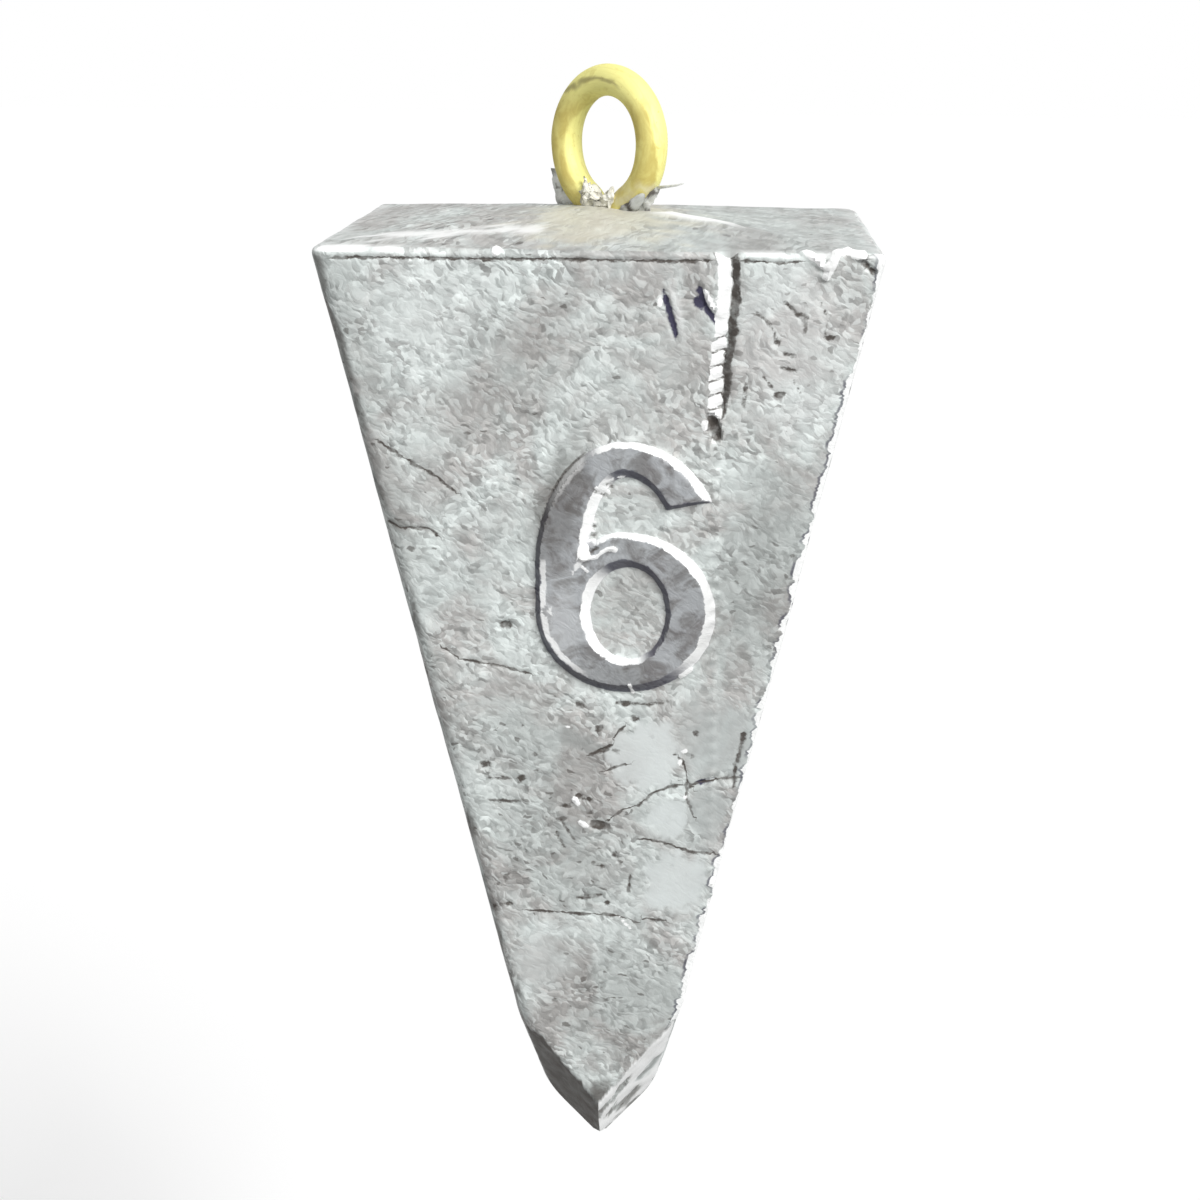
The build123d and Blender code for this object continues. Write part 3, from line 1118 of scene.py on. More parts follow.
        # Painted highlight along the rims, strongest at the front left corner; the right part of the front
        # rim is paler too.
        right_corner = self.right_rim_pale * fade(x, *self.right_rim_bare)
        corners = np.maximum(fade(x, *self.left_rim_highlight), right_corner)
        edge = np.where(front, corners, self.rim_pale) * (rings < skin.crown_rings + self.pale_rim_rings)
        paint_over(masks, Mask.PALE, rim * edge * fade(lumps, -0.25, 0.1))
        duller = fade(x, *self.patch_from) * fade(lumps, -0.2, 0.3)
        paint_over(masks, Mask.SHADE, crown * (self.crown_shade + self.crown_patch * duller))
        paint_over(masks, Mask.CALM, self.crown_calm * crown * fade(x, *self.calm_from))
        worn = front * fade(x, *self.rim_shade_left) * fade(x, *self.rim_shade_right)
        paint_over(masks, Mask.SHADE, self.rim_shade * worn * fade(lumps, -0.6, 0.2))
        from_stain = (plain[..., :2] - np.array(self.stain_middle)) / np.array(self.stain_reach)
        stain = np.linalg.norm(from_stain, axis=-1) + self.stain_stray * lumps
        stain = fade(stain, *self.stain_edge)
        paint_over(masks, Mask.STAIN, self.stain_cover * crown * stain)

    def cast_flash(self, skin: Skin, plain: Array, masks: Masks) -> None:
        """Draws the ragged flash out of the two arrises on which the mould parted, and nicks the others.

        Args:
            skin: The grid of points, which are moved.
            plain: The points before any rise.
            masks: The masks, which are changed.
        """
        below = np.arange(len(skin.half))[:, None] >= skin.crown_rings
        gap = skin.corner_gap(parted=True)
        upright = plain * np.array([self.jag_drag, self.jag_drag, 1.0])
        jags = self.jag_rise * cast_noise(upright, self.jag_size, 4, 23.9)
        reach = self.flash_reach * np.clip(self.flash_level + jags, -self.flash_level, 1)
        ridge = below * (1 - skin.facet) * fade(gap, self.flash_width, 0)
        level = plain * np.array([1.0, 1.0, 0.0])
        outward = level / np.maximum(np.linalg.norm(level, axis=-1, keepdims=True), TINY)
        skin.points += (reach * ridge)[..., None] * outward
        masks[Mask.ARRIS_GAP] = np.where(below & (skin.facet < 0.5), np.minimum(gap, FAR), FAR)
        deep = skin.corner_gap(parted=False)
        bruises = cast_noise(plain, self.nick_size, 4, 87.0)
        nicks = fade(deep, *self.nick_reach) * fade(bruises, 0.05, 0.3) * below
        paint_over(masks, Mask.SHADE, self.nick_shade * nicks)

    def faces(self, skin: Skin) -> tuple[Faces, Array]:
        """Joins the points into a closed skin, each face split along the diagonal that rises less.

        Args:
            skin: The grid of points.

        Returns:
            The corners of each face, and the map coordinates of each corner in millimetres.
        """
        rings, columns = skin.across.shape
        number = np.arange(rings * columns).reshape(rings, columns)
        right = np.roll(number, -1, axis=1)
        quads = np.stack([number[:-1], number[1:], right[1:], right[:-1]], axis=-1)
        next_share = np.append(skin.share[1:], 1.0)
        next_share[np.append(skin.side[1:] != skin.side[:-1], True)] = 1.0
        half = skin.half[:, None]
        sheet = self.sheet_step * skin.side
        left_map = np.stack([half * skin.share + sheet, skin.down], axis=-1)
        right_map = np.stack([half * next_share + sheet, skin.down], axis=-1)
        maps = np.stack([left_map[:-1], left_map[1:], right_map[1:], right_map[:-1]], axis=2)
        crown_map = skin.points[..., :2] * np.array([1.0, self.crown_drag]) + self.crown_sheet
        crown_right = np.roll(crown_map, -1, axis=1)
        top = skin.crown_rings
        crown_maps = [crown_map[:-1], crown_map[1:], crown_right[1:], crown_right[:-1]]
        maps[:top] = np.stack(crown_maps, axis=2)[:top]
        next_rise = np.roll(skin.rise, -1, axis=1)
        split = np.abs(skin.rise[:-1] - next_rise[1:]) > np.abs(skin.rise[1:] - next_rise[:-1])
        quads[split] = np.roll(quads[split], 1, axis=-1)
        maps[split] = np.roll(maps[split], 1, axis=-2)
        crown_middle, land_middle = rings * columns, rings * columns + 1
        corners = [tuple(quad) for quad in quads.reshape(-1, 4).tolist()]
        corners += [(crown_middle, int(a), int(b)) for a, b in zip(number[0], right[0])]
        corners += [(land_middle, int(b), int(a)) for a, b in zip(number[-1], right[-1])]
        crown_hub = np.full_like(crown_map[0], self.crown_sheet)
        land_hub = np.full_like(left_map[-1], left_map[-1].mean(0))
        crown_fan = np.stack([crown_hub, crown_map[0], crown_right[0]], axis=1)
        land_fan = np.stack([land_hub, right_map[-1], left_map[-1]], axis=1)
        coordinates = [part.reshape(-1, 2) for part in (maps, crown_fan, land_fan)]
        return corners, np.concatenate(coordinates)

    def build(self, finish: "CastLead") -> bpy.types.Object:
        """Makes the casting's mesh and dresses it.

        Args:
            finish: The lead's finish.

        Returns:
            The casting.
        """
        skin = self.skin()
        masks = self.shaped(skin)
        corners, coordinates = self.faces(skin)
        middles = np.stack([skin.points[0].mean(0), skin.points[-1].mean(0)])
        points = np.concatenate([skin.points.reshape(-1, 3), middles])
        for mask, values in masks.items():
            masks[mask] = np.append(values.ravel(), [values[0].mean(), values[-1].mean()])
        mesh = meshed("lead_casting", points, corners, masks)
        add_map(mesh, SIDE_MAP, coordinates)
        casting = placed(mesh, finish.material())
        mesh.set_sharp_from_angle(angle=self.crease)
        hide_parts("lead_body")
        return casting


@dataclass
class WireEye:
    """The bent brass wire: a loop above the crown, two legs down in the lead and two feet turned out.

    Lengths are in millimetres and angles in radians. A pair of numbers gives where a fade starts and ends.
    """

    wire: float = 1.6
    loop_inner: float = 4.8
    loop_height: float = 3.05
    neck_radius: float = 1.3
    leg_gap: float = 0.4
    leg_depth: float = 11.0
    foot_radius: float = 2.0
    foot_angle: float = radians(70)
    foot_length: float = 2.2
    sides: int = 56
    step: float = 0.12
    dent: float = 0.025
    dent_size: float = 2.0
    crease: float = radians(50)
    lump_size: float = 1.1
    lump_sway: float = 0.16
    shade_side_of_limbs: Triple = (-0.8, 0.0, -0.5)
    shade_side_of_top: Triple = (-0.5, 0.3, -0.8)
    top_levels: Point = (1.4, 2.8)
    limb_shift: float = 0.15
    top_shade_cut: float = 0.95
    shadow_line_place: float = 0.06
    shadow_line_width: Point = (0.15, 0.04)
    shadow_line_levels: Point = (2.0, 2.6)
    shadow_line_depth: float = 0.8
    smear_level: float = -2.25
    smear_width: Point = (0.75, 0.25)
    smear_depth: float = 0.5

    def half_path(self) -> Array:
        """The centre line of the right half, from the toe to the top of the loop.

        Returns:
            Points along the diagonal and up the axis, in millimetres.
        """
        radius = (self.loop_inner + self.wire) / 2
        leg = (self.wire + self.leg_gap) / 2
        neck_reach = leg + self.neck_radius
        neck_level = -sqrt((radius + self.neck_radius) ** 2 - neck_reach**2)
        bend_level = self.foot_radius - self.loop_height - self.leg_depth
        bend_middle = np.array([leg + self.foot_radius, bend_level])
        join_angle = atan2(neck_level, neck_reach)
        heel = self.arc(bend_middle, self.foot_radius, pi + self.foot_angle, pi)
        toe = heel[0] + self.foot_length * np.array([sin(self.foot_angle), -cos(self.foot_angle)])
        neck = self.arc(np.array([neck_reach, neck_level]), self.neck_radius, pi, pi + join_angle)
        loop = self.arc(np.zeros(2), radius, join_angle, pi / 2)
        parts = [self.line(toe, heel[0]), heel, self.line(heel[-1], neck[0])[1:], neck, loop[1:]]
        return np.concatenate(parts)

    def arc(self, middle: Array, radius: float, start: float, end: float) -> Array:
        """Lays points along an arc, a step apart.

        Args:
            middle: The middle of the arc.
            radius: Its radius.
            start: The angle at which it starts.
            end: The angle at which it ends.

        Returns:
            The points, with both ends.
        """
        count = max(4, round(abs(end - start) * radius / self.step))
        angle = np.linspace(start, end, count + 1)
        return middle + radius * np.stack([np.cos(angle), np.sin(angle)], axis=-1)

    def line(self, start: Array, end: Array) -> Array:
        """Points along a straight run, a step apart, without its end."""
        count = max(2, round(float(np.linalg.norm(end - start)) / self.step))
        return np.linspace(start, end, count, endpoint=False)

    def paint(self, surface: Array, spoke: Array) -> dict[WireMask, Array]:
        """Works out the painted shade on the side of the wire away from the light, the painted shadow line
        along the top of the loop, and the smear of lead on the wire.

        Args:
            surface: Points on the wire, in millimetres.
            spoke: The direction out of the wire at each point.

        Returns:
            The masks.
        """
        lumps = cast_noise(surface, self.lump_size, 3, 63.0)
        level = surface[..., 2]
        high = fade(level, *self.top_levels)
        facing_away = spoke @ np.array(self.shade_side_of_limbs) * (1 - high) + spoke @ np.array(self.shade_side_of_top) * high
        facing_away = facing_away + self.lump_sway * lumps
        along = surface @ DIAGONAL
        # Painted shade on the side of the wire away from the light, mostly taken off at the top.
        tarnish = fade(facing_away + self.limb_shift * np.clip(along, -1, 1), -0.1, 0.02)
        # A painted shadow line along the top of the loop, where the lit and the shaded sides meet.
        crease = fade(np.abs(facing_away - self.shadow_line_place), *self.shadow_line_width)
        crease *= fade(level, *self.shadow_line_levels) * fade(along, 2.0, 1.0) * fade(lumps, -0.6, -0.1)
        smear = fade(np.abs(level - self.smear_level + 0.5 * lumps), *self.smear_width)
        smear *= fade(along, 0.4, 1.0) * fade(lumps, -0.4, 0.3)
        return {
            WireMask.TARNISH: tarnish * (1 - self.top_shade_cut * high),
            WireMask.CREASE: self.shadow_line_depth * crease,
            WireMask.SMEAR: self.smear_depth * smear,
        }

    def mapped(self, path: Array) -> Array:
        """Unrolls the wire onto its map.

        Args:
            path: The points of its centre line.

        Returns:
            The place of each corner of each face, along and round the wire, with the ends at zero.
        """
        length = np.append(0, np.cumsum(np.linalg.norm(np.diff(path, axis=0), axis=-1)))
        turn = np.arange(self.sides + 1) / self.sides * self.wire * pi
        low, left = np.meshgrid(length[:-1], turn[:-1], indexing="ij")
        high, right = np.meshgrid(length[1:], turn[1:], indexing="ij")
        maps = np.stack([low, left, low, right, high, right, high, left], axis=-1).reshape(-1, 2)
        return np.concatenate([maps, np.zeros((2 * self.sides, 2))])

    def build(self, finish: "DrawnBrass") -> bpy.types.Object:
        """Sweeps the wire along its line and dresses it.

        Args:
            finish: The brass's finish.

        Returns:
            The wire eye.
        """
        half = self.half_path()
        path = np.concatenate([half, half[-2::-1] * np.array([-1, 1])])
        run = np.gradient(path, axis=0)
        run /= np.linalg.norm(run, axis=-1, keepdims=True)
        middle = path[:, :1] * DIAGONAL + path[:, 1:] * AXIS
        beside = -run[:, 1:] * DIAGONAL + run[:, :1] * AXIS
        angle = np.linspace(0, 2 * pi, self.sides, endpoint=False)[None, :, None]
        spoke = np.cos(angle) * beside[:, None, :] + np.sin(angle) * BEHIND
        surface = middle[:, None, :] + self.wire / 2 * spoke
        surface = surface + self.dent * cast_noise(surface, self.dent_size, 2, 5.5)[..., None] * spoke
        number, corners = tube_faces(0, len(path), self.sides)
        corners += end_faces(number)
        mesh = meshed("wire_eye_loop", surface.reshape(-1, 3), corners, self.paint(surface, spoke))
        add_map(mesh, WIRE_MAP, self.mapped(path))
        eye = placed(mesh, finish.material())
        mesh.set_sharp_from_angle(angle=self.crease)
        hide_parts("wire_eye")
        return eye


@dataclass(frozen=True)
class Lump:
    """A lump or fin of lead, by its outline along the loop's plane and up, round its middle."""

    middle: Point
    outline: tuple[Point, ...]
    front: float = 0.0
    bulge: float = 0.2
    rough: float = 0.06
    pale: float = 0.3
    shade: float = 0.0
    stain: float = 0.2

    def densified(self) -> Array:
        """Lays more points along the outline.

        Returns:
            The outline with three points between each two of its own.
        """
        corners = np.array(self.outline)
        following = np.roll(corners, -1, axis=0)
        dense = [corners + (following - corners) * share for share in (0, 0.25, 0.5, 0.75)]
        return np.stack(dense, axis=1).reshape(-1, 2)


@dataclass
class EyeFlash:
    """The lead that crept out of the mould round the foot of the eye, in the plane of its loop."""

    lumps: tuple[Lump, ...] = (
        Lump(
            (-3.2, -2.4),
            ((-1.2, -3.6), (-1.4, -3.0), (-2.1, -2.6), (-2.8, -2.0), (-3.2, -1.65),
             (-3.6, -1.55), (-4.0, -1.5), (-4.4, -1.45), (-4.25, -1.75), (-4.2, -2.1),
             (-4.2, -2.5), (-4.05, -2.8), (-3.9, -3.2), (-3.8, -3.6)),
            rough=0.04,
            shade=0.06,
        ),
        Lump(
            (2.6, -3.0),
            ((1.2, -3.5), (1.5, -3.0), (2.2, -2.75), (2.9, -2.4), (3.35, -2.1), (3.75, -1.95),
             (3.85, -2.1), (3.55, -2.5), (3.2, -2.9), (3.05, -3.5)),
            shade=0.45,
        ),
        Lump(
            (-0.3, -2.75),
            ((-1.2, -1.85), (-0.86, -2.1), (-0.5, -2.2), (-0.05, -2.4), (0.3, -2.55), (0.65, -2.8),
             (1.0, -3.1), (0.4, -3.4), (-0.4, -3.4), (-1.0, -3.2), (-1.35, -2.6), (-1.4, -2.1)),
            front=0.6,
            bulge=0.45,
            rough=0.17,
            stain=0.85,
        ),
        Lump(
            (0.95, -2.7),
            ((0.75, -2.4), (0.95, -2.2), (1.15, -2.35), (1.25, -2.7), (1.1, -3.2), (0.75, -3.2),
             (0.65, -2.8)),
            front=0.7,
            bulge=0.25,
            rough=0.12,
            stain=0.85,
        ),
        Lump(
            (0.1, -3.1),
            ((-0.9, -3.3), (-0.7, -2.9), (-0.2, -2.75), (0.3, -2.8), (0.9, -3.0), (1.1, -3.4), (0.0, -3.6)),
            bulge=0.8,
            rough=0.15,
            pale=0.2,
            shade=0.4,
            stain=0.5,
        ),
        Lump(
            (2.2, -3.05),
            ((1.3, -3.3), (1.6, -3.0), (2.2, -2.7), (2.9, -2.35), (3.2, -2.4), (2.8, -3.1), (2.2, -3.5)),
            front=0.45,
            bulge=0.4,
            rough=0.04,
            pale=0.1,
            shade=0.45,
            stain=0.1,
        ),
    )
    whisker: tuple[Point, ...] = ((3.6, -2.05), (4.3, -1.95), (5.0, -1.85), (5.5, -1.72))
    layers: int = 18
    rough_size: float = 0.45
    blotch_size: float = 0.5
    whisker_size: float = 0.09
    whisker_taper: float = 0.6
    whisker_sides: int = 6
    sheet: Point = (-60.0, -60.0)

    def build(self, finish: "CastLead") -> bpy.types.Object:
        """Makes the lumps and the whisker as one mesh and dresses it.

        Args:
            finish: The lead's finish.

        Returns:
            The flash.
        """
        points: list[Array] = []
        corners: Faces = []
        painted: list[Masks] = []
        for lump in self.lumps:
            start = len(points)
            self.add_lump(points, corners, lump)
            painted.append(self.paint(np.array(points[start:]), lump))
        start = len(points)
        self.add_whisker(points, corners)
        painted.append(self.paint(np.array(points[start:]), self.lumps[0]))
        flat = np.array(points)
        solid = flat[:, :1] * DIAGONAL + flat[:, 1:2] * AXIS + flat[:, 2:] * BEHIND
        masks = {mask: np.concatenate([part[mask] for part in painted]) for mask in Mask}
        mesh = meshed("eye_flash", solid, corners, masks)
        loops = np.array([corner for face in corners for corner in face])
        add_map(mesh, SIDE_MAP, flat[loops, :2] + self.sheet)
        return placed(mesh, finish.material())

    def paint(self, flat: Array, lump: Lump) -> Masks:
        """Paints one lump.

        Args:
            flat: Its points, along the loop's plane, up, and behind the plane.
            lump: The lump.

        Returns:
            Its masks.
        """
        blotches = cast_noise(flat, self.blotch_size, 3, 8.8)
        masks = blank_masks(len(flat))
        masks[Mask.PALE] = np.clip(lump.pale * (1 + 1.6 * blotches), 0, 1)
        masks[Mask.SHADE] = np.clip(lump.shade + 0.5 * fade(blotches, -0.15, -0.4), 0, 1)
        masks[Mask.STAIN] += lump.stain
        return masks

    def add_lump(self, points: list[Array], corners: Faces, lump: Lump) -> None:
        """Adds one closed, uneven lump.

        Args:
            points: The mesh's points, which grow.
            corners: The mesh's faces, which grow.
            lump: The lump.
        """
        outline = lump.densified()
        first, sides, layers = len(points), len(outline), self.layers
        middle = np.array(lump.middle)
        tilt = np.arange(1, layers) * pi / layers
        flat = middle + np.sin(tilt)[:, None, None] * (outline - middle)
        behind = (-lump.front - lump.bulge * np.cos(tilt))[:, None, None] + 0 * flat[..., :1]
        ends = [[*middle, -lump.front - lump.bulge], [*middle, -lump.front + lump.bulge]]
        body = np.concatenate([np.concatenate([flat, behind], axis=-1).reshape(-1, 3), ends])
        stray = [cast_noise(body, self.rough_size, 3, 31.0 + 7 * axis) for axis in range(3)]
        points.extend(body + 2 * lump.rough * np.stack(stray, axis=-1))
        number, made = tube_faces(first, layers - 1, sides)
        following = np.roll(number, -1, axis=1)
        near = first + number.size
        far = near + 1
        made += [(near, int(b), int(a)) for a, b in zip(number[0], following[0])]
        made += [(far, int(a), int(b)) for a, b in zip(number[-1], following[-1])]
        after = np.roll(outline, -1, axis=0)
        area = np.sum(outline[:, 0] * after[:, 1] - after[:, 0] * outline[:, 1])
        corners.extend(made if area > 0 else [face[::-1] for face in made])

    def add_whisker(self, points: list[Array], corners: Faces) -> None:
        """Adds the thin whisker that points away from the eye.

        Args:
            points: The mesh's points, which grow.
            corners: The mesh's faces, which grow.
        """
        number, tube = tube_faces(len(points), len(self.whisker), self.whisker_sides)
        corners.extend(tube + end_faces(number))
        angle = np.arange(self.whisker_sides) * 2 * pi / self.whisker_sides
        for index, (x, y) in enumerate(self.whisker):
            size = self.whisker_size * (1 - self.whisker_taper * index / (len(self.whisker) - 1))
            for turn in angle:
                points.append(np.array([x, y + size * cos(turn), size * sin(turn)]))


class NodeGraph:
    """A material's or world's nodes, added one by one with their inputs."""

    def __init__(self, tree: bpy.types.NodeTree) -> None:
        """Starts on an empty tree."""
        self.tree = tree
        tree.nodes.clear()

    def add(self, kind: str, inputs: dict[str | int, Any] | None = None, **settings: Any) -> bpy.types.Node:
        """Adds a node.

        Args:
            kind: The node's type, without the leading ShaderNode.
            inputs: For each input, by name or number, a socket to link or a value to set.
            settings: The node's own properties.

        Returns:
            The node.
        """
        node = self.tree.nodes.new("ShaderNode" + kind)
        for name, value in settings.items():
            setattr(node, name, value)
        for name, value in (inputs or {}).items():
            if isinstance(value, Socket):
                self.tree.links.new(value, node.inputs[name])
            else:
                node.inputs[name].default_value = value
        return node

    def math(self, operation: str, first: Any, second: Any = 0.0, third: Any = 0.0) -> Socket:
        """The result of a sum on one, two or three values."""
        return self.add("Math", {0: first, 1: second, 2: third}, operation=operation).outputs[0]

    def times(self, product: Socket, *factors: Any) -> Socket:
        """A value times others.

        Args:
            product: The value.
            factors: What it is multiplied by.

        Returns:
            The product.
        """
        for factor in factors:
            product = self.math("MULTIPLY", product, factor)
        return product

    def ranged(self, value: Any, low: Any, high: Any, start: float = 0.0, end: float = 1.0) -> Socket:
        """A value taken smoothly from low..high to start..end."""
        inputs = {"Value": value, "From Min": low, "From Max": high, "To Min": start, "To Max": end}
        return self.add("MapRange", inputs, interpolation_type="SMOOTHSTEP").outputs[0]

    def near(self, value: Socket, middle: float, outer: Any, inner: Any) -> Socket:
        """1 where a value is within inner of a middle, smoothly down to 0 where it is outer away."""
        return self.ranged(self.math("ABSOLUTE", self.math("SUBTRACT", value, middle)), outer, inner)

    def mixed(self, share: Any, first: Any, second: Any, blend: str = "MIX") -> Socket:
        """Mixes two colours.

        Args:
            share: How much of the second there is.
            first: A colour, or a socket that gives one.
            second: The same.
            blend: How they are blended.

        Returns:
            The mixed colour.
        """
        first, second = [color if isinstance(color, Socket) else opaque(color) for color in (first, second)]
        inputs = {0: share, 6: first, 7: second}
        return self.add("Mix", inputs, data_type="RGBA", blend_type=blend).outputs[2]

    def noise(self, place: Socket, scale: float, detail: float = 3.0, bend: float = 0.0) -> Socket:
        """Noise over a place, from 0 to 1."""
        inputs = {"Vector": place, "Scale": scale, "Detail": detail, "Roughness": 0.6, "Distortion": bend}
        return self.add("TexNoise", inputs).outputs[0]

    def wobble(self, place: Socket, scale: float, detail: float, bend: float = 0.0) -> Socket:
        """Noise over a place, from -0.5 to 0.5."""
        return self.math("SUBTRACT", self.noise(place, scale, detail, bend), 0.5)

    def stretched(self, place: Socket, turn: float, scale: Triple) -> Socket:
        """A place turned in its plane, then scaled along its own axes."""
        turned = self.add("Mapping", {"Vector": place, "Rotation": (0, 0, turn)}).outputs[0]
        return self.add("Mapping", {"Vector": turned, "Scale": scale}).outputs[0]

    def cells(self, place: Socket, scale: float, feature: str = "F1") -> bpy.types.Node:
        """Breaks a place up into cells.

        Args:
            place: The place.
            scale: How many cells there are to a millimetre.
            feature: What their distance output measures.

        Returns:
            The node, with the distances and colours of the cells.
        """
        inputs = {"Vector": place, "Scale": scale}
        node = self.add("TexVoronoi", inputs, voronoi_dimensions="2D", feature=feature)
        if feature == "SMOOTH_F1":
            node.inputs["Smoothness"].default_value = 0.6
        return node

    def drawn(self, cells: bpy.types.Node) -> list[Socket]:
        """Three values from 0 to 1, drawn by chance for each cell."""
        return list(self.add("SeparateColor", {0: cells.outputs["Color"]}).outputs)

    def bent(self, place: Socket, scale: float, reach: float) -> Socket:
        """Shifts a place here and there by noise.

        Args:
            place: The place.
            scale: How fine the noise is.
            reach: How far it shifts.

        Returns:
            The bent place.
        """
        stray = self.add("TexNoise", {"Vector": place, "Scale": scale, "Detail": 3.0}).outputs["Color"]
        inputs = {0: stray, 1: (reach, reach, 0.0), 2: place}
        return self.add("VectorMath", inputs, operation="MULTIPLY_ADD").outputs[0]

    def painted(self, mask: Mask | WireMask) -> Socket:
        """A mask that is painted on the skin."""
        return self.add("Attribute", attribute_name=mask.value).outputs["Fac"]

    def strayed(self, mask: Mask, wobble: Socket, reach: float) -> Socket:
        """A painted distance that wanders with noise."""
        return self.math("MULTIPLY_ADD", wobble, reach, self.painted(mask))

    def two_faced(self, lights: bpy.types.Node, shows: bpy.types.Node) -> bpy.types.Node:
        """Joins a shader that lights other surfaces to one that the camera sees, straight or mirrored.

        Args:
            lights: The shader for rays that only carry light on.
            shows: The shader for rays that the camera sees.

        Returns:
            The joined shader.
        """
        ray = self.add("LightPath").outputs
        mirrored = self.math("MAXIMUM", ray["Is Glossy Ray"], ray["Is Transmission Ray"])
        seen = self.math("MAXIMUM", ray["Is Camera Ray"], mirrored)
        return self.add("MixShader", {0: seen, 1: lights.outputs[0], 2: shows.outputs[0]})

    def end(self, shader: bpy.types.Node, output: str = "OutputMaterial") -> None:
        """Ends the nodes in a shader."""
        self.add(output, {"Surface": shader.outputs[0]})


def opaque(color: Color) -> tuple[float, float, float, float]:
    """A colour with full cover."""
    return (*color, 1.0)


def new_material(name: str) -> tuple[bpy.types.Material, NodeGraph]:
    """Starts a material.

    Args:
        name: Its name.

    Returns:
        The material and its nodes, of which there are none yet.
    """
    made = bpy.data.materials.new(name)
    made.use_nodes = True
    return made, NodeGraph(made.node_tree)


@dataclass(frozen=True)
class Metal:
    """A metal's finish, with a colour, roughness and relief that its own nodes give."""

    name: str
    metallic: float
    gloss: float
    bump_strength: float
    bump_depth: float

    def material(self) -> bpy.types.Material:
        """Makes the finish once, for every piece that has it.

        Returns:
            The material.
        """
        made = bpy.data.materials.get(self.name)
        if made:
            return made
        made, graph = new_material(self.name)
        color, rough, relief = self.dressed(graph)
        bump = {"Strength": self.bump_strength, "Distance": self.bump_depth, "Height": relief}
        surface = {
            "Base Color": color,
            "Metallic": self.metallic,
            "Specular IOR Level": self.gloss,
            "Roughness": rough,
            "Normal": graph.add("Bump", bump).outputs[0],
        }
        graph.end(graph.add("BsdfPrincipled", surface))
        return made

    def dressed(self, graph: NodeGraph) -> tuple[Socket, Socket, Socket]:
        """Adds the metal's own nodes, which every kind of metal has to give.

        Args:
            graph: The material's nodes.

        Returns:
            The colour, the roughness and the relief.
        """
        raise NotImplementedError


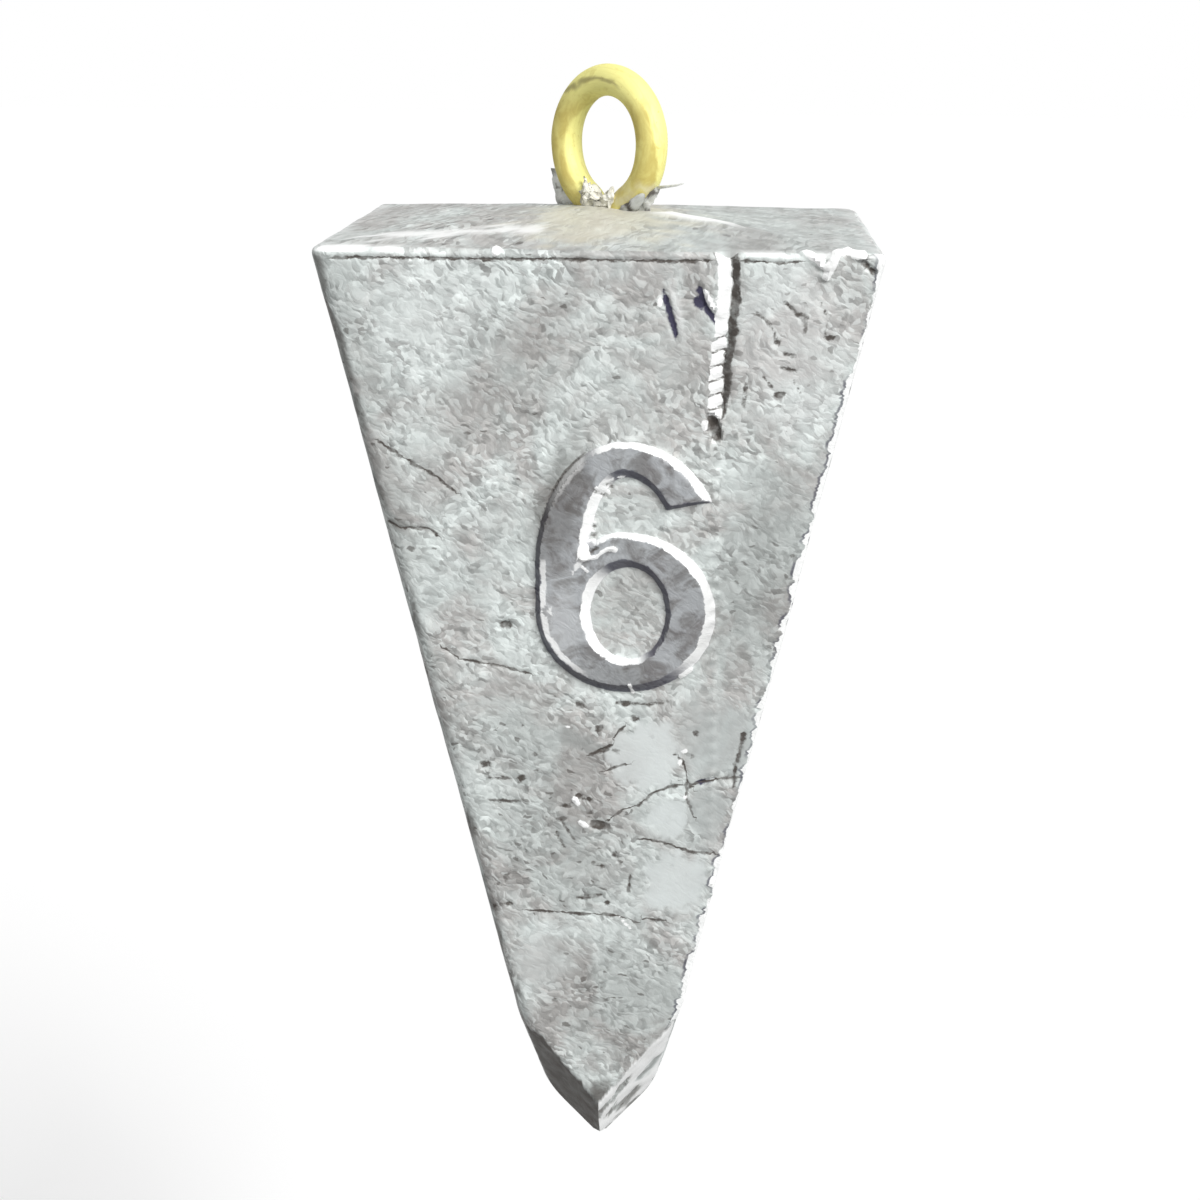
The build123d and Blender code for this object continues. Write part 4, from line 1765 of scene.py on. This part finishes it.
@dataclass(frozen=True)
class CastLead(Metal):
    """Dull oxidised cast lead: pebbled and mottled, with chips and cracks, bright edges of fresh metal and
    painted highlight, and painted shade where faces and walls turn from the light.
    """

    name: str = "cast_lead"
    metallic: float = 0.1
    gloss: float = 0.1
    bump_strength: float = 0.75
    bump_depth: float = 0.032 * MM
    warm: Color = (0.468, 0.463, 0.45)
    cool: Color = (0.63, 0.675, 0.66)
    flake: Color = (0.81, 0.855, 0.84)
    calm: Color = (0.63, 0.68, 0.672)
    seam: Color = (0.22, 0.215, 0.21)
    bare: Color = (0.96, 0.968, 0.962)
    brown_dark: Color = (0.085, 0.074, 0.066)
    blue_shade: Color = (0.058, 0.055, 0.09)
    numeral_dark: Color = (0.182, 0.176, 0.18)
    numeral_light: Color = (0.408, 0.425, 0.445)
    stain: Color = (0.82, 0.785, 0.64)
    flow_turn: float = radians(-36)
    chip_turn: float = radians(-14)

    def dressed(self, graph: NodeGraph) -> tuple[Socket, Socket, Socket]:
        """Lays the flecked skin, then its chips, stain, numeral, wear and flash, with painted shade and
        highlight among them.

        Args:
            graph: The material's nodes.

        Returns:
            The colour, the roughness and the relief.
        """
        place = graph.add("UVMap", uv_map=SIDE_MAP).outputs[0]
        bent = graph.bent(graph.bent(place, 0.6, 1.2), 2.6, 0.36)
        flow = graph.stretched(bent, self.flow_turn, (0.8, 1.5, 1))
        flecks = graph.cells(flow, 4.0, "SMOOTH_F1")
        patch = graph.noise(flow, 1.5, 5, 0.5)
        calm = graph.painted(Mask.CALM)
        color = self.flecked(graph, place, flecks, patch, graph.ranged(calm, 0, 1, 1.0, 0.3))
        color = self.chipped(graph, bent, color)
        color = graph.mixed(graph.times(calm, 0.7), color, self.calm)
        color = graph.mixed(graph.painted(Mask.STAIN), color, self.stain)
        color = self.numbered(graph, place, color)
        color = self.worn(graph, place, color)
        color = self.flashed(graph, place, color)
        relief = graph.math("MULTIPLY_ADD", flecks.outputs["Distance"], -0.5, patch)
        relief = graph.math("MULTIPLY_ADD", graph.noise(place, 6.0, 3), 0.3, relief)
        relief = graph.times(
            relief,
            graph.ranged(graph.painted(Mask.PALE), 0, 1, 1.0, 0.3),
            graph.ranged(calm, 0, 1, 1.0, 0.4),
        )
        return color, graph.ranged(patch, 0.35, 0.65, 0.64, 0.48), relief

    def flecked(
        self, graph: NodeGraph, place: Socket, flecks: bpy.types.Node, patch: Socket, lively: Socket
    ) -> Socket:
        """The plain skin: warm and cool zones, broken into small light and dark flecks along the flow.

        Args:
            graph: The material's nodes.
            place: The place on the skin, in millimetres.
            flecks: The soft cells that the flecks fill.
            patch: Noise stretched along the flow of the metal.
            lively: How strongly the tone varies.

        Returns:
            The colour.
        """
        mottle = graph.noise(place, 0.2, 5, 0.8)
        color = graph.mixed(graph.ranged(mottle, 0.38, 0.6), self.warm, self.cool)
        draw = graph.drawn(flecks)
        lively = graph.times(lively, graph.ranged(graph.noise(place, 0.3, 3, 0.4), 0.38, 0.62, 0.4, 1.0))
        broad = graph.times(graph.wobble(place, 0.55, 4, 0.6), 0.5)
        tone = graph.math("ADD", graph.times(patch, 1.55), graph.times(draw[0], 0.72))
        tone = graph.math("MULTIPLY_ADD", graph.math("SUBTRACT", tone, 1.096), lively, broad)
        color = graph.mixed(1.0, color, graph.math("ADD", tone, 1.0), "MULTIPLY")
        light = graph.times(graph.ranged(draw[1], 0.56, 0.74), lively, 0.55)
        color = graph.mixed(light, color, self.flake)
        pitted = graph.ranged(graph.noise(place, 0.45, 3), 0.42, 0.62, 0.1, 0.6)
        dark = graph.times(graph.ranged(draw[2], 0.38, 0.26), lively, pitted)
        return graph.mixed(dark, color, self.seam)

    def chipped(self, graph: NodeGraph, bent: Socket, color: Socket) -> Socket:
        """Adds small dark chips, thickest where the skin is chipped.

        Args:
            graph: The material's nodes.
            bent: The place on the skin, in millimetres, bent a little.
            color: The colour so far.

        Returns:
            The colour with chips.
        """
        holes = graph.cells(graph.stretched(bent, self.chip_turn, (0.85, 1.7, 1)), 1.1)
        draw = graph.drawn(holes)
        chance = graph.ranged(graph.painted(Mask.CHIPPED), 0, 1, 0.05, 0.5)
        size = graph.ranged(draw[1], 0, 1, 0.06, 0.2)
        inside = graph.ranged(graph.math("SUBTRACT", holes.outputs["Distance"], size), 0.04, -0.04)
        depth = graph.times(inside, graph.math("LESS_THAN", draw[0], chance), 0.62)
        return graph.mixed(depth, color, self.brown_dark)

    def numbered(self, graph: NodeGraph, place: Socket, color: Socket) -> Socket:
        """Darkens the numeral's flat top, paints shade on its walls, paints highlight on the walls and edges
        that face the light, and paints a shadow line along the foot of the upper left wall.

        Args:
            graph: The material's nodes.
            place: The place on the skin, in millimetres.
            color: The colour so far.

        Returns:
            The colour with the numeral.
        """
        wobble = graph.wobble(place, 1.7, 4)
        foot = graph.strayed(Mask.FOOT_GAP, wobble, 0.18)
        top = graph.strayed(Mask.TOP_GAP, wobble, 0.42)
        paler = graph.ranged(graph.noise(place, 0.7, 5, 1.2), 0.36, 0.6)
        tone = graph.mixed(paler, self.numeral_dark, self.numeral_light)
        color = graph.mixed(graph.ranged(top, 0.03, -0.03, 0, 0.85), color, tone)
        # Painted shade on every wall, then painted highlight on the walls that face the light.
        wall = graph.times(graph.ranged(foot, 0.03, -0.03), graph.ranged(top, -0.03, 0.03))
        color = graph.mixed(graph.times(wall, 0.8), color, self.blue_shade)
        color = graph.mixed(graph.times(wall, graph.painted(Mask.WALL_LIT)), color, self.bare)
        # Along the upper left, a painted highlight inside the top edge and a painted shadow at the foot;
        # along the lower left, a painted highlight on the top edge.
        at_foot = graph.ranged(graph.painted(Mask.EDGE_LIT), 0, -1, 0, 0.75)
        color = graph.mixed(graph.times(graph.near(top, -0.03, 0.19, 0.08), at_foot), color, self.bare)
        color = graph.mixed(graph.times(graph.near(foot, 0.04, 0.1, 0.03), at_foot), color, self.brown_dark)
        at_top = graph.ranged(graph.painted(Mask.EDGE_LIT), 0, 1, 0, 0.75)
        return graph.mixed(graph.times(graph.near(top, -0.16, 0.17, 0.09), at_top), color, self.bare)

    def worn(self, graph: NodeGraph, place: Socket, color: Socket) -> Socket:
        """Adds patches of tone, painted shade and painted highlight, dark hollows, darker blue marks that are
        partly painted shade, cracks, and bright marks that are partly painted highlight.

        Args:
            graph: The material's nodes.
            place: The place on the skin, in millimetres.
            color: The colour so far.

        Returns:
            The worn colour.
        """
        # The shade mask holds darker patches and painted shade on the point's facets; the pale mask holds
        # paler patches and painted highlight on the rims and the snipped facet.
        color = graph.mixed(graph.painted(Mask.SHADE), color, self.brown_dark)
        color = graph.mixed(graph.painted(Mask.PALE), color, self.bare)
        wobble = graph.wobble(place, 2.8, 5)
        depth = graph.ranged(graph.noise(place, 1.6, 4), 0.36, 0.58, 0.62, 0.97)
        # Dark hollows, with the painted shade of the gouge's far wall.
        hollow = graph.ranged(graph.strayed(Mask.DARK_GAP, wobble, 0.42), 0.06, -0.06)
        color = graph.mixed(graph.times(hollow, depth), color, self.brown_dark)
        # Darker blue marks, partly painted shade.
        blue = graph.ranged(graph.strayed(Mask.BLUE_GAP, wobble, 0.3), 0.06, -0.08)
        color = graph.mixed(blue, color, self.blue_shade)
        width = graph.ranged(graph.noise(place, 1.2, 3), 0.32, 0.68, 0.03, 0.17)
        offset = graph.strayed(Mask.CRACK_OFFSET, wobble, 0.3)
        crack = graph.near(offset, 0.0, width, graph.times(width, 0.3))
        crack = graph.times(crack, graph.painted(Mask.CRACK_DEPTH), depth)
        color = graph.mixed(crack, color, self.brown_dark)
        web = graph.cells(graph.bent(place, 0.4, 4.0), 0.13, "DISTANCE_TO_EDGE").outputs["Distance"]
        web = graph.ranged(web, graph.times(width, 0.13), graph.times(width, 0.04))
        web = graph.times(web, graph.painted(Mask.CRACKED), depth)
        color = graph.mixed(web, color, self.brown_dark)
        # Bright marks of fresh metal, with the painted highlight of the gouge's near wall.
        bright = graph.ranged(graph.strayed(Mask.BARE_GAP, wobble, 0.26), 0.03, -0.03)
        return graph.mixed(bright, color, self.bare)

    def flashed(self, graph: NodeGraph, place: Socket, color: Socket) -> Socket:
        """Adds the bright beads of flash along the parted arrises, fresh metal with painted highlight where
        they face the light, and a painted shadow line at their root.

        Args:
            graph: The material's nodes.
            place: The place on the skin, in millimetres.
            color: The colour so far.

        Returns:
            The colour with the flash.
        """
        upright = graph.stretched(place, 0, (0.3, 1, 1))
        beads = graph.math("ADD", graph.noise(upright, 1.3, 3, 0.4), graph.noise(upright, 0.35, 2))
        width = graph.ranged(beads, 0.8, 1.2, 0.02, 0.36)
        past = graph.math("SUBTRACT", graph.painted(Mask.ARRIS_GAP), width)
        broken = graph.ranged(graph.noise(upright, 0.7, 4), 0.4, 0.56)
        # A painted shadow line at the root of the flash, then the beads, fresh metal with painted highlight.
        root = graph.times(graph.ranged(past, 0.2, 0.1), broken, 0.7)
        color = graph.mixed(root, color, self.blue_shade)
        return graph.mixed(graph.ranged(past, 0.04, -0.02), color, self.bare)


@dataclass(frozen=True)
class DrawnBrass(Metal):
    """Pale drawn brass wire: satin, with draw lines, specks and darker blotches, painted shade on the side
    away from the light, a painted shadow line along the top and a smear of lead at its foot.
    """

    name: str = "drawn_brass"
    metallic: float = 0.3
    gloss: float = 0.1
    bump_strength: float = 0.4
    bump_depth: float = 0.03 * MM
    bright: Color = (0.9, 0.86, 0.34)
    tarnish_and_shade: Color = (0.59, 0.495, 0.155)
    shadow_line: Color = (0.34, 0.3, 0.13)
    lead: Color = (0.8, 0.79, 0.64)

    def dressed(self, graph: NodeGraph) -> tuple[Socket, Socket, Socket]:
        """Lays the painted shade on the side away from the light and the darker draw lines, specks and
        blotches, then the painted shadow line and the smear of lead.

        Args:
            graph: The material's nodes.

        Returns:
            The colour, the roughness and the relief.
        """
        place = graph.add("UVMap", uv_map=WIRE_MAP).outputs[0]
        blotch = graph.noise(graph.stretched(place, 0, (0.9, 1.6, 1)), 1.0, 4, 0.8)
        draw = graph.noise(graph.stretched(place, 0, (0.35, 9.0, 1)), 1.0, 2)
        speck = graph.noise(place, 3.4, 3)
        # Painted shade on the side away from the light, broken up by blotches.
        facing_away = graph.times(graph.painted(WireMask.TARNISH), graph.ranged(blotch, 0.3, 0.65, 0.6, 1.0))
        color = graph.mixed(facing_away, self.bright, self.tarnish_and_shade)
        color = graph.mixed(graph.ranged(draw, 0.5, 0.75, 0, 0.25), color, self.tarnish_and_shade)
        color = graph.mixed(graph.ranged(speck, 0.64, 0.72, 0, 0.6), color, self.tarnish_and_shade)
        color = graph.mixed(graph.ranged(blotch, 0.52, 0.68, 0, 0.3), color, self.tarnish_and_shade)
        # The painted shadow line along the top of the loop.
        color = graph.mixed(graph.painted(WireMask.CREASE), color, self.shadow_line)
        color = graph.mixed(graph.painted(WireMask.SMEAR), color, self.lead)
        relief = graph.math("MULTIPLY_ADD", draw, 0.5, speck)
        return color, graph.ranged(blotch, 0.3, 0.7, 0.6, 0.75), relief


@dataclass(frozen=True)
class PaleFloor:
    """A pale studio floor, white to the camera, that sends only a little light back up."""

    name: str = "pale_floor"
    shown: Color = (0.98, 0.98, 0.98)
    bounce: Color = (0.25, 0.25, 0.25)

    def material(self) -> bpy.types.Material:
        """Makes the finish.

        Returns:
            The material.
        """
        made, graph = new_material(self.name)
        bounce = graph.add("BsdfDiffuse", {"Color": opaque(self.bounce)})
        shown = graph.add("BsdfDiffuse", {"Color": opaque(self.shown)})
        graph.end(graph.two_faced(bounce, shown))
        return made


@dataclass
class Studio:
    """The floor, the light and the camera, in millimetres in the frame of the part."""

    target: Triple = (-0.235, 0.0, -23.94)
    distance: float = 140.4
    azimuth: float = radians(2.25)
    elevation: float = radians(12.83)
    roll: float = radians(0.5)
    lens: float = 79.3
    sensor: float = 36.0
    nearest: float = 10.0
    floor_drop: float = 70.0
    floor_size: float = 6000.0
    key_direction: Triple = (0.45, -0.72, 0.53)
    key_spread: float = radians(22)
    key_level: float = 1.06
    room: Color = (1.0, 1.0, 1.0)
    fill: float = 0.47
    shown: float = 1.0

    def build(self, lowest: float) -> None:
        """Sets up the floor, the world, the lamp and the camera.

        Args:
            lowest: The level of the object's lowest point, in metres.
        """
        self.add_floor(lowest - self.floor_drop * MM)
        self.add_world()
        self.add_key()
        self.add_camera()
        bpy.context.scene.view_settings.view_transform = "Standard"

    def add_floor(self, level: float) -> None:
        """Lays the floor.

        Args:
            level: Its level, in metres.
        """
        half = self.floor_size / 2 * MM
        corners = [(-half, -half, level), (half, -half, level), (half, half, level), (-half, half, level)]
        mesh = bpy.data.meshes.new("floor")
        mesh.from_pydata(corners, [], [(0, 1, 2, 3)])
        mesh.materials.append(PaleFloor().material())
        floor = bpy.data.objects.new("floor", mesh)
        bpy.context.scene.collection.objects.link(floor)

    def add_world(self) -> None:
        """Fills the room with soft light, and shows it white."""
        world = bpy.data.worlds.new("studio")
        bpy.context.scene.world = world
        world.use_nodes = True
        graph = NodeGraph(world.node_tree)
        light = graph.add("Background", {"Color": opaque(self.room), "Strength": self.fill})
        white = graph.add("Background", {"Color": opaque(self.room), "Strength": self.shown})
        graph.end(graph.two_faced(light, white), "OutputWorld")

    def add_key(self) -> None:
        """Hangs the one large soft lamp, far off at the upper right."""
        lamp = bpy.data.lights.new("key", "SUN")
        lamp.angle = self.key_spread
        lamp.energy = self.key_level * pi
        key = bpy.data.objects.new("key", lamp)
        key.rotation_euler = Vector(self.key_direction).to_track_quat("Z", "Y").to_euler()
        bpy.context.scene.collection.objects.link(key)

    def add_camera(self) -> None:
        """Sets the camera at the photographed angle."""
        level = cos(self.elevation)
        back = Vector((sin(self.azimuth) * level, -cos(self.azimuth) * level, sin(self.elevation)))
        right = Vector((0, 0, 1)).cross(back).normalized()
        up = back.cross(right)
        turned_right = right * cos(self.roll) + up * sin(self.roll)
        turned_up = up * cos(self.roll) - right * sin(self.roll)
        lens = bpy.data.cameras.new("camera")
        lens.lens = self.lens
        lens.sensor_width = self.sensor
        lens.clip_start = self.nearest * MM
        camera = bpy.data.objects.new("camera", lens)
        place = Matrix((turned_right, turned_up, back)).transposed().to_4x4()
        place.translation = (Vector(self.target) + back * self.distance) * MM
        camera.matrix_world = place
        bpy.context.scene.collection.objects.link(camera)
        bpy.context.scene.camera = camera


def main() -> None:
    """Builds every piece, then the studio."""
    logging.basicConfig(level=logging.INFO, format="%(name)s: %(message)s")
    lead = CastLead()
    pieces = [
        LeadCasting().build(lead),
        EyeFlash().build(lead),
        WireEye().build(DrawnBrass()),
    ]
    for piece in pieces:
        LOG.info("%s: %d faces", piece.name, len(piece.data.polygons))
    Studio().build(cad_box[0][2])
    bpy.context.view_layer.update()


if __name__ == "__main__":
    main()
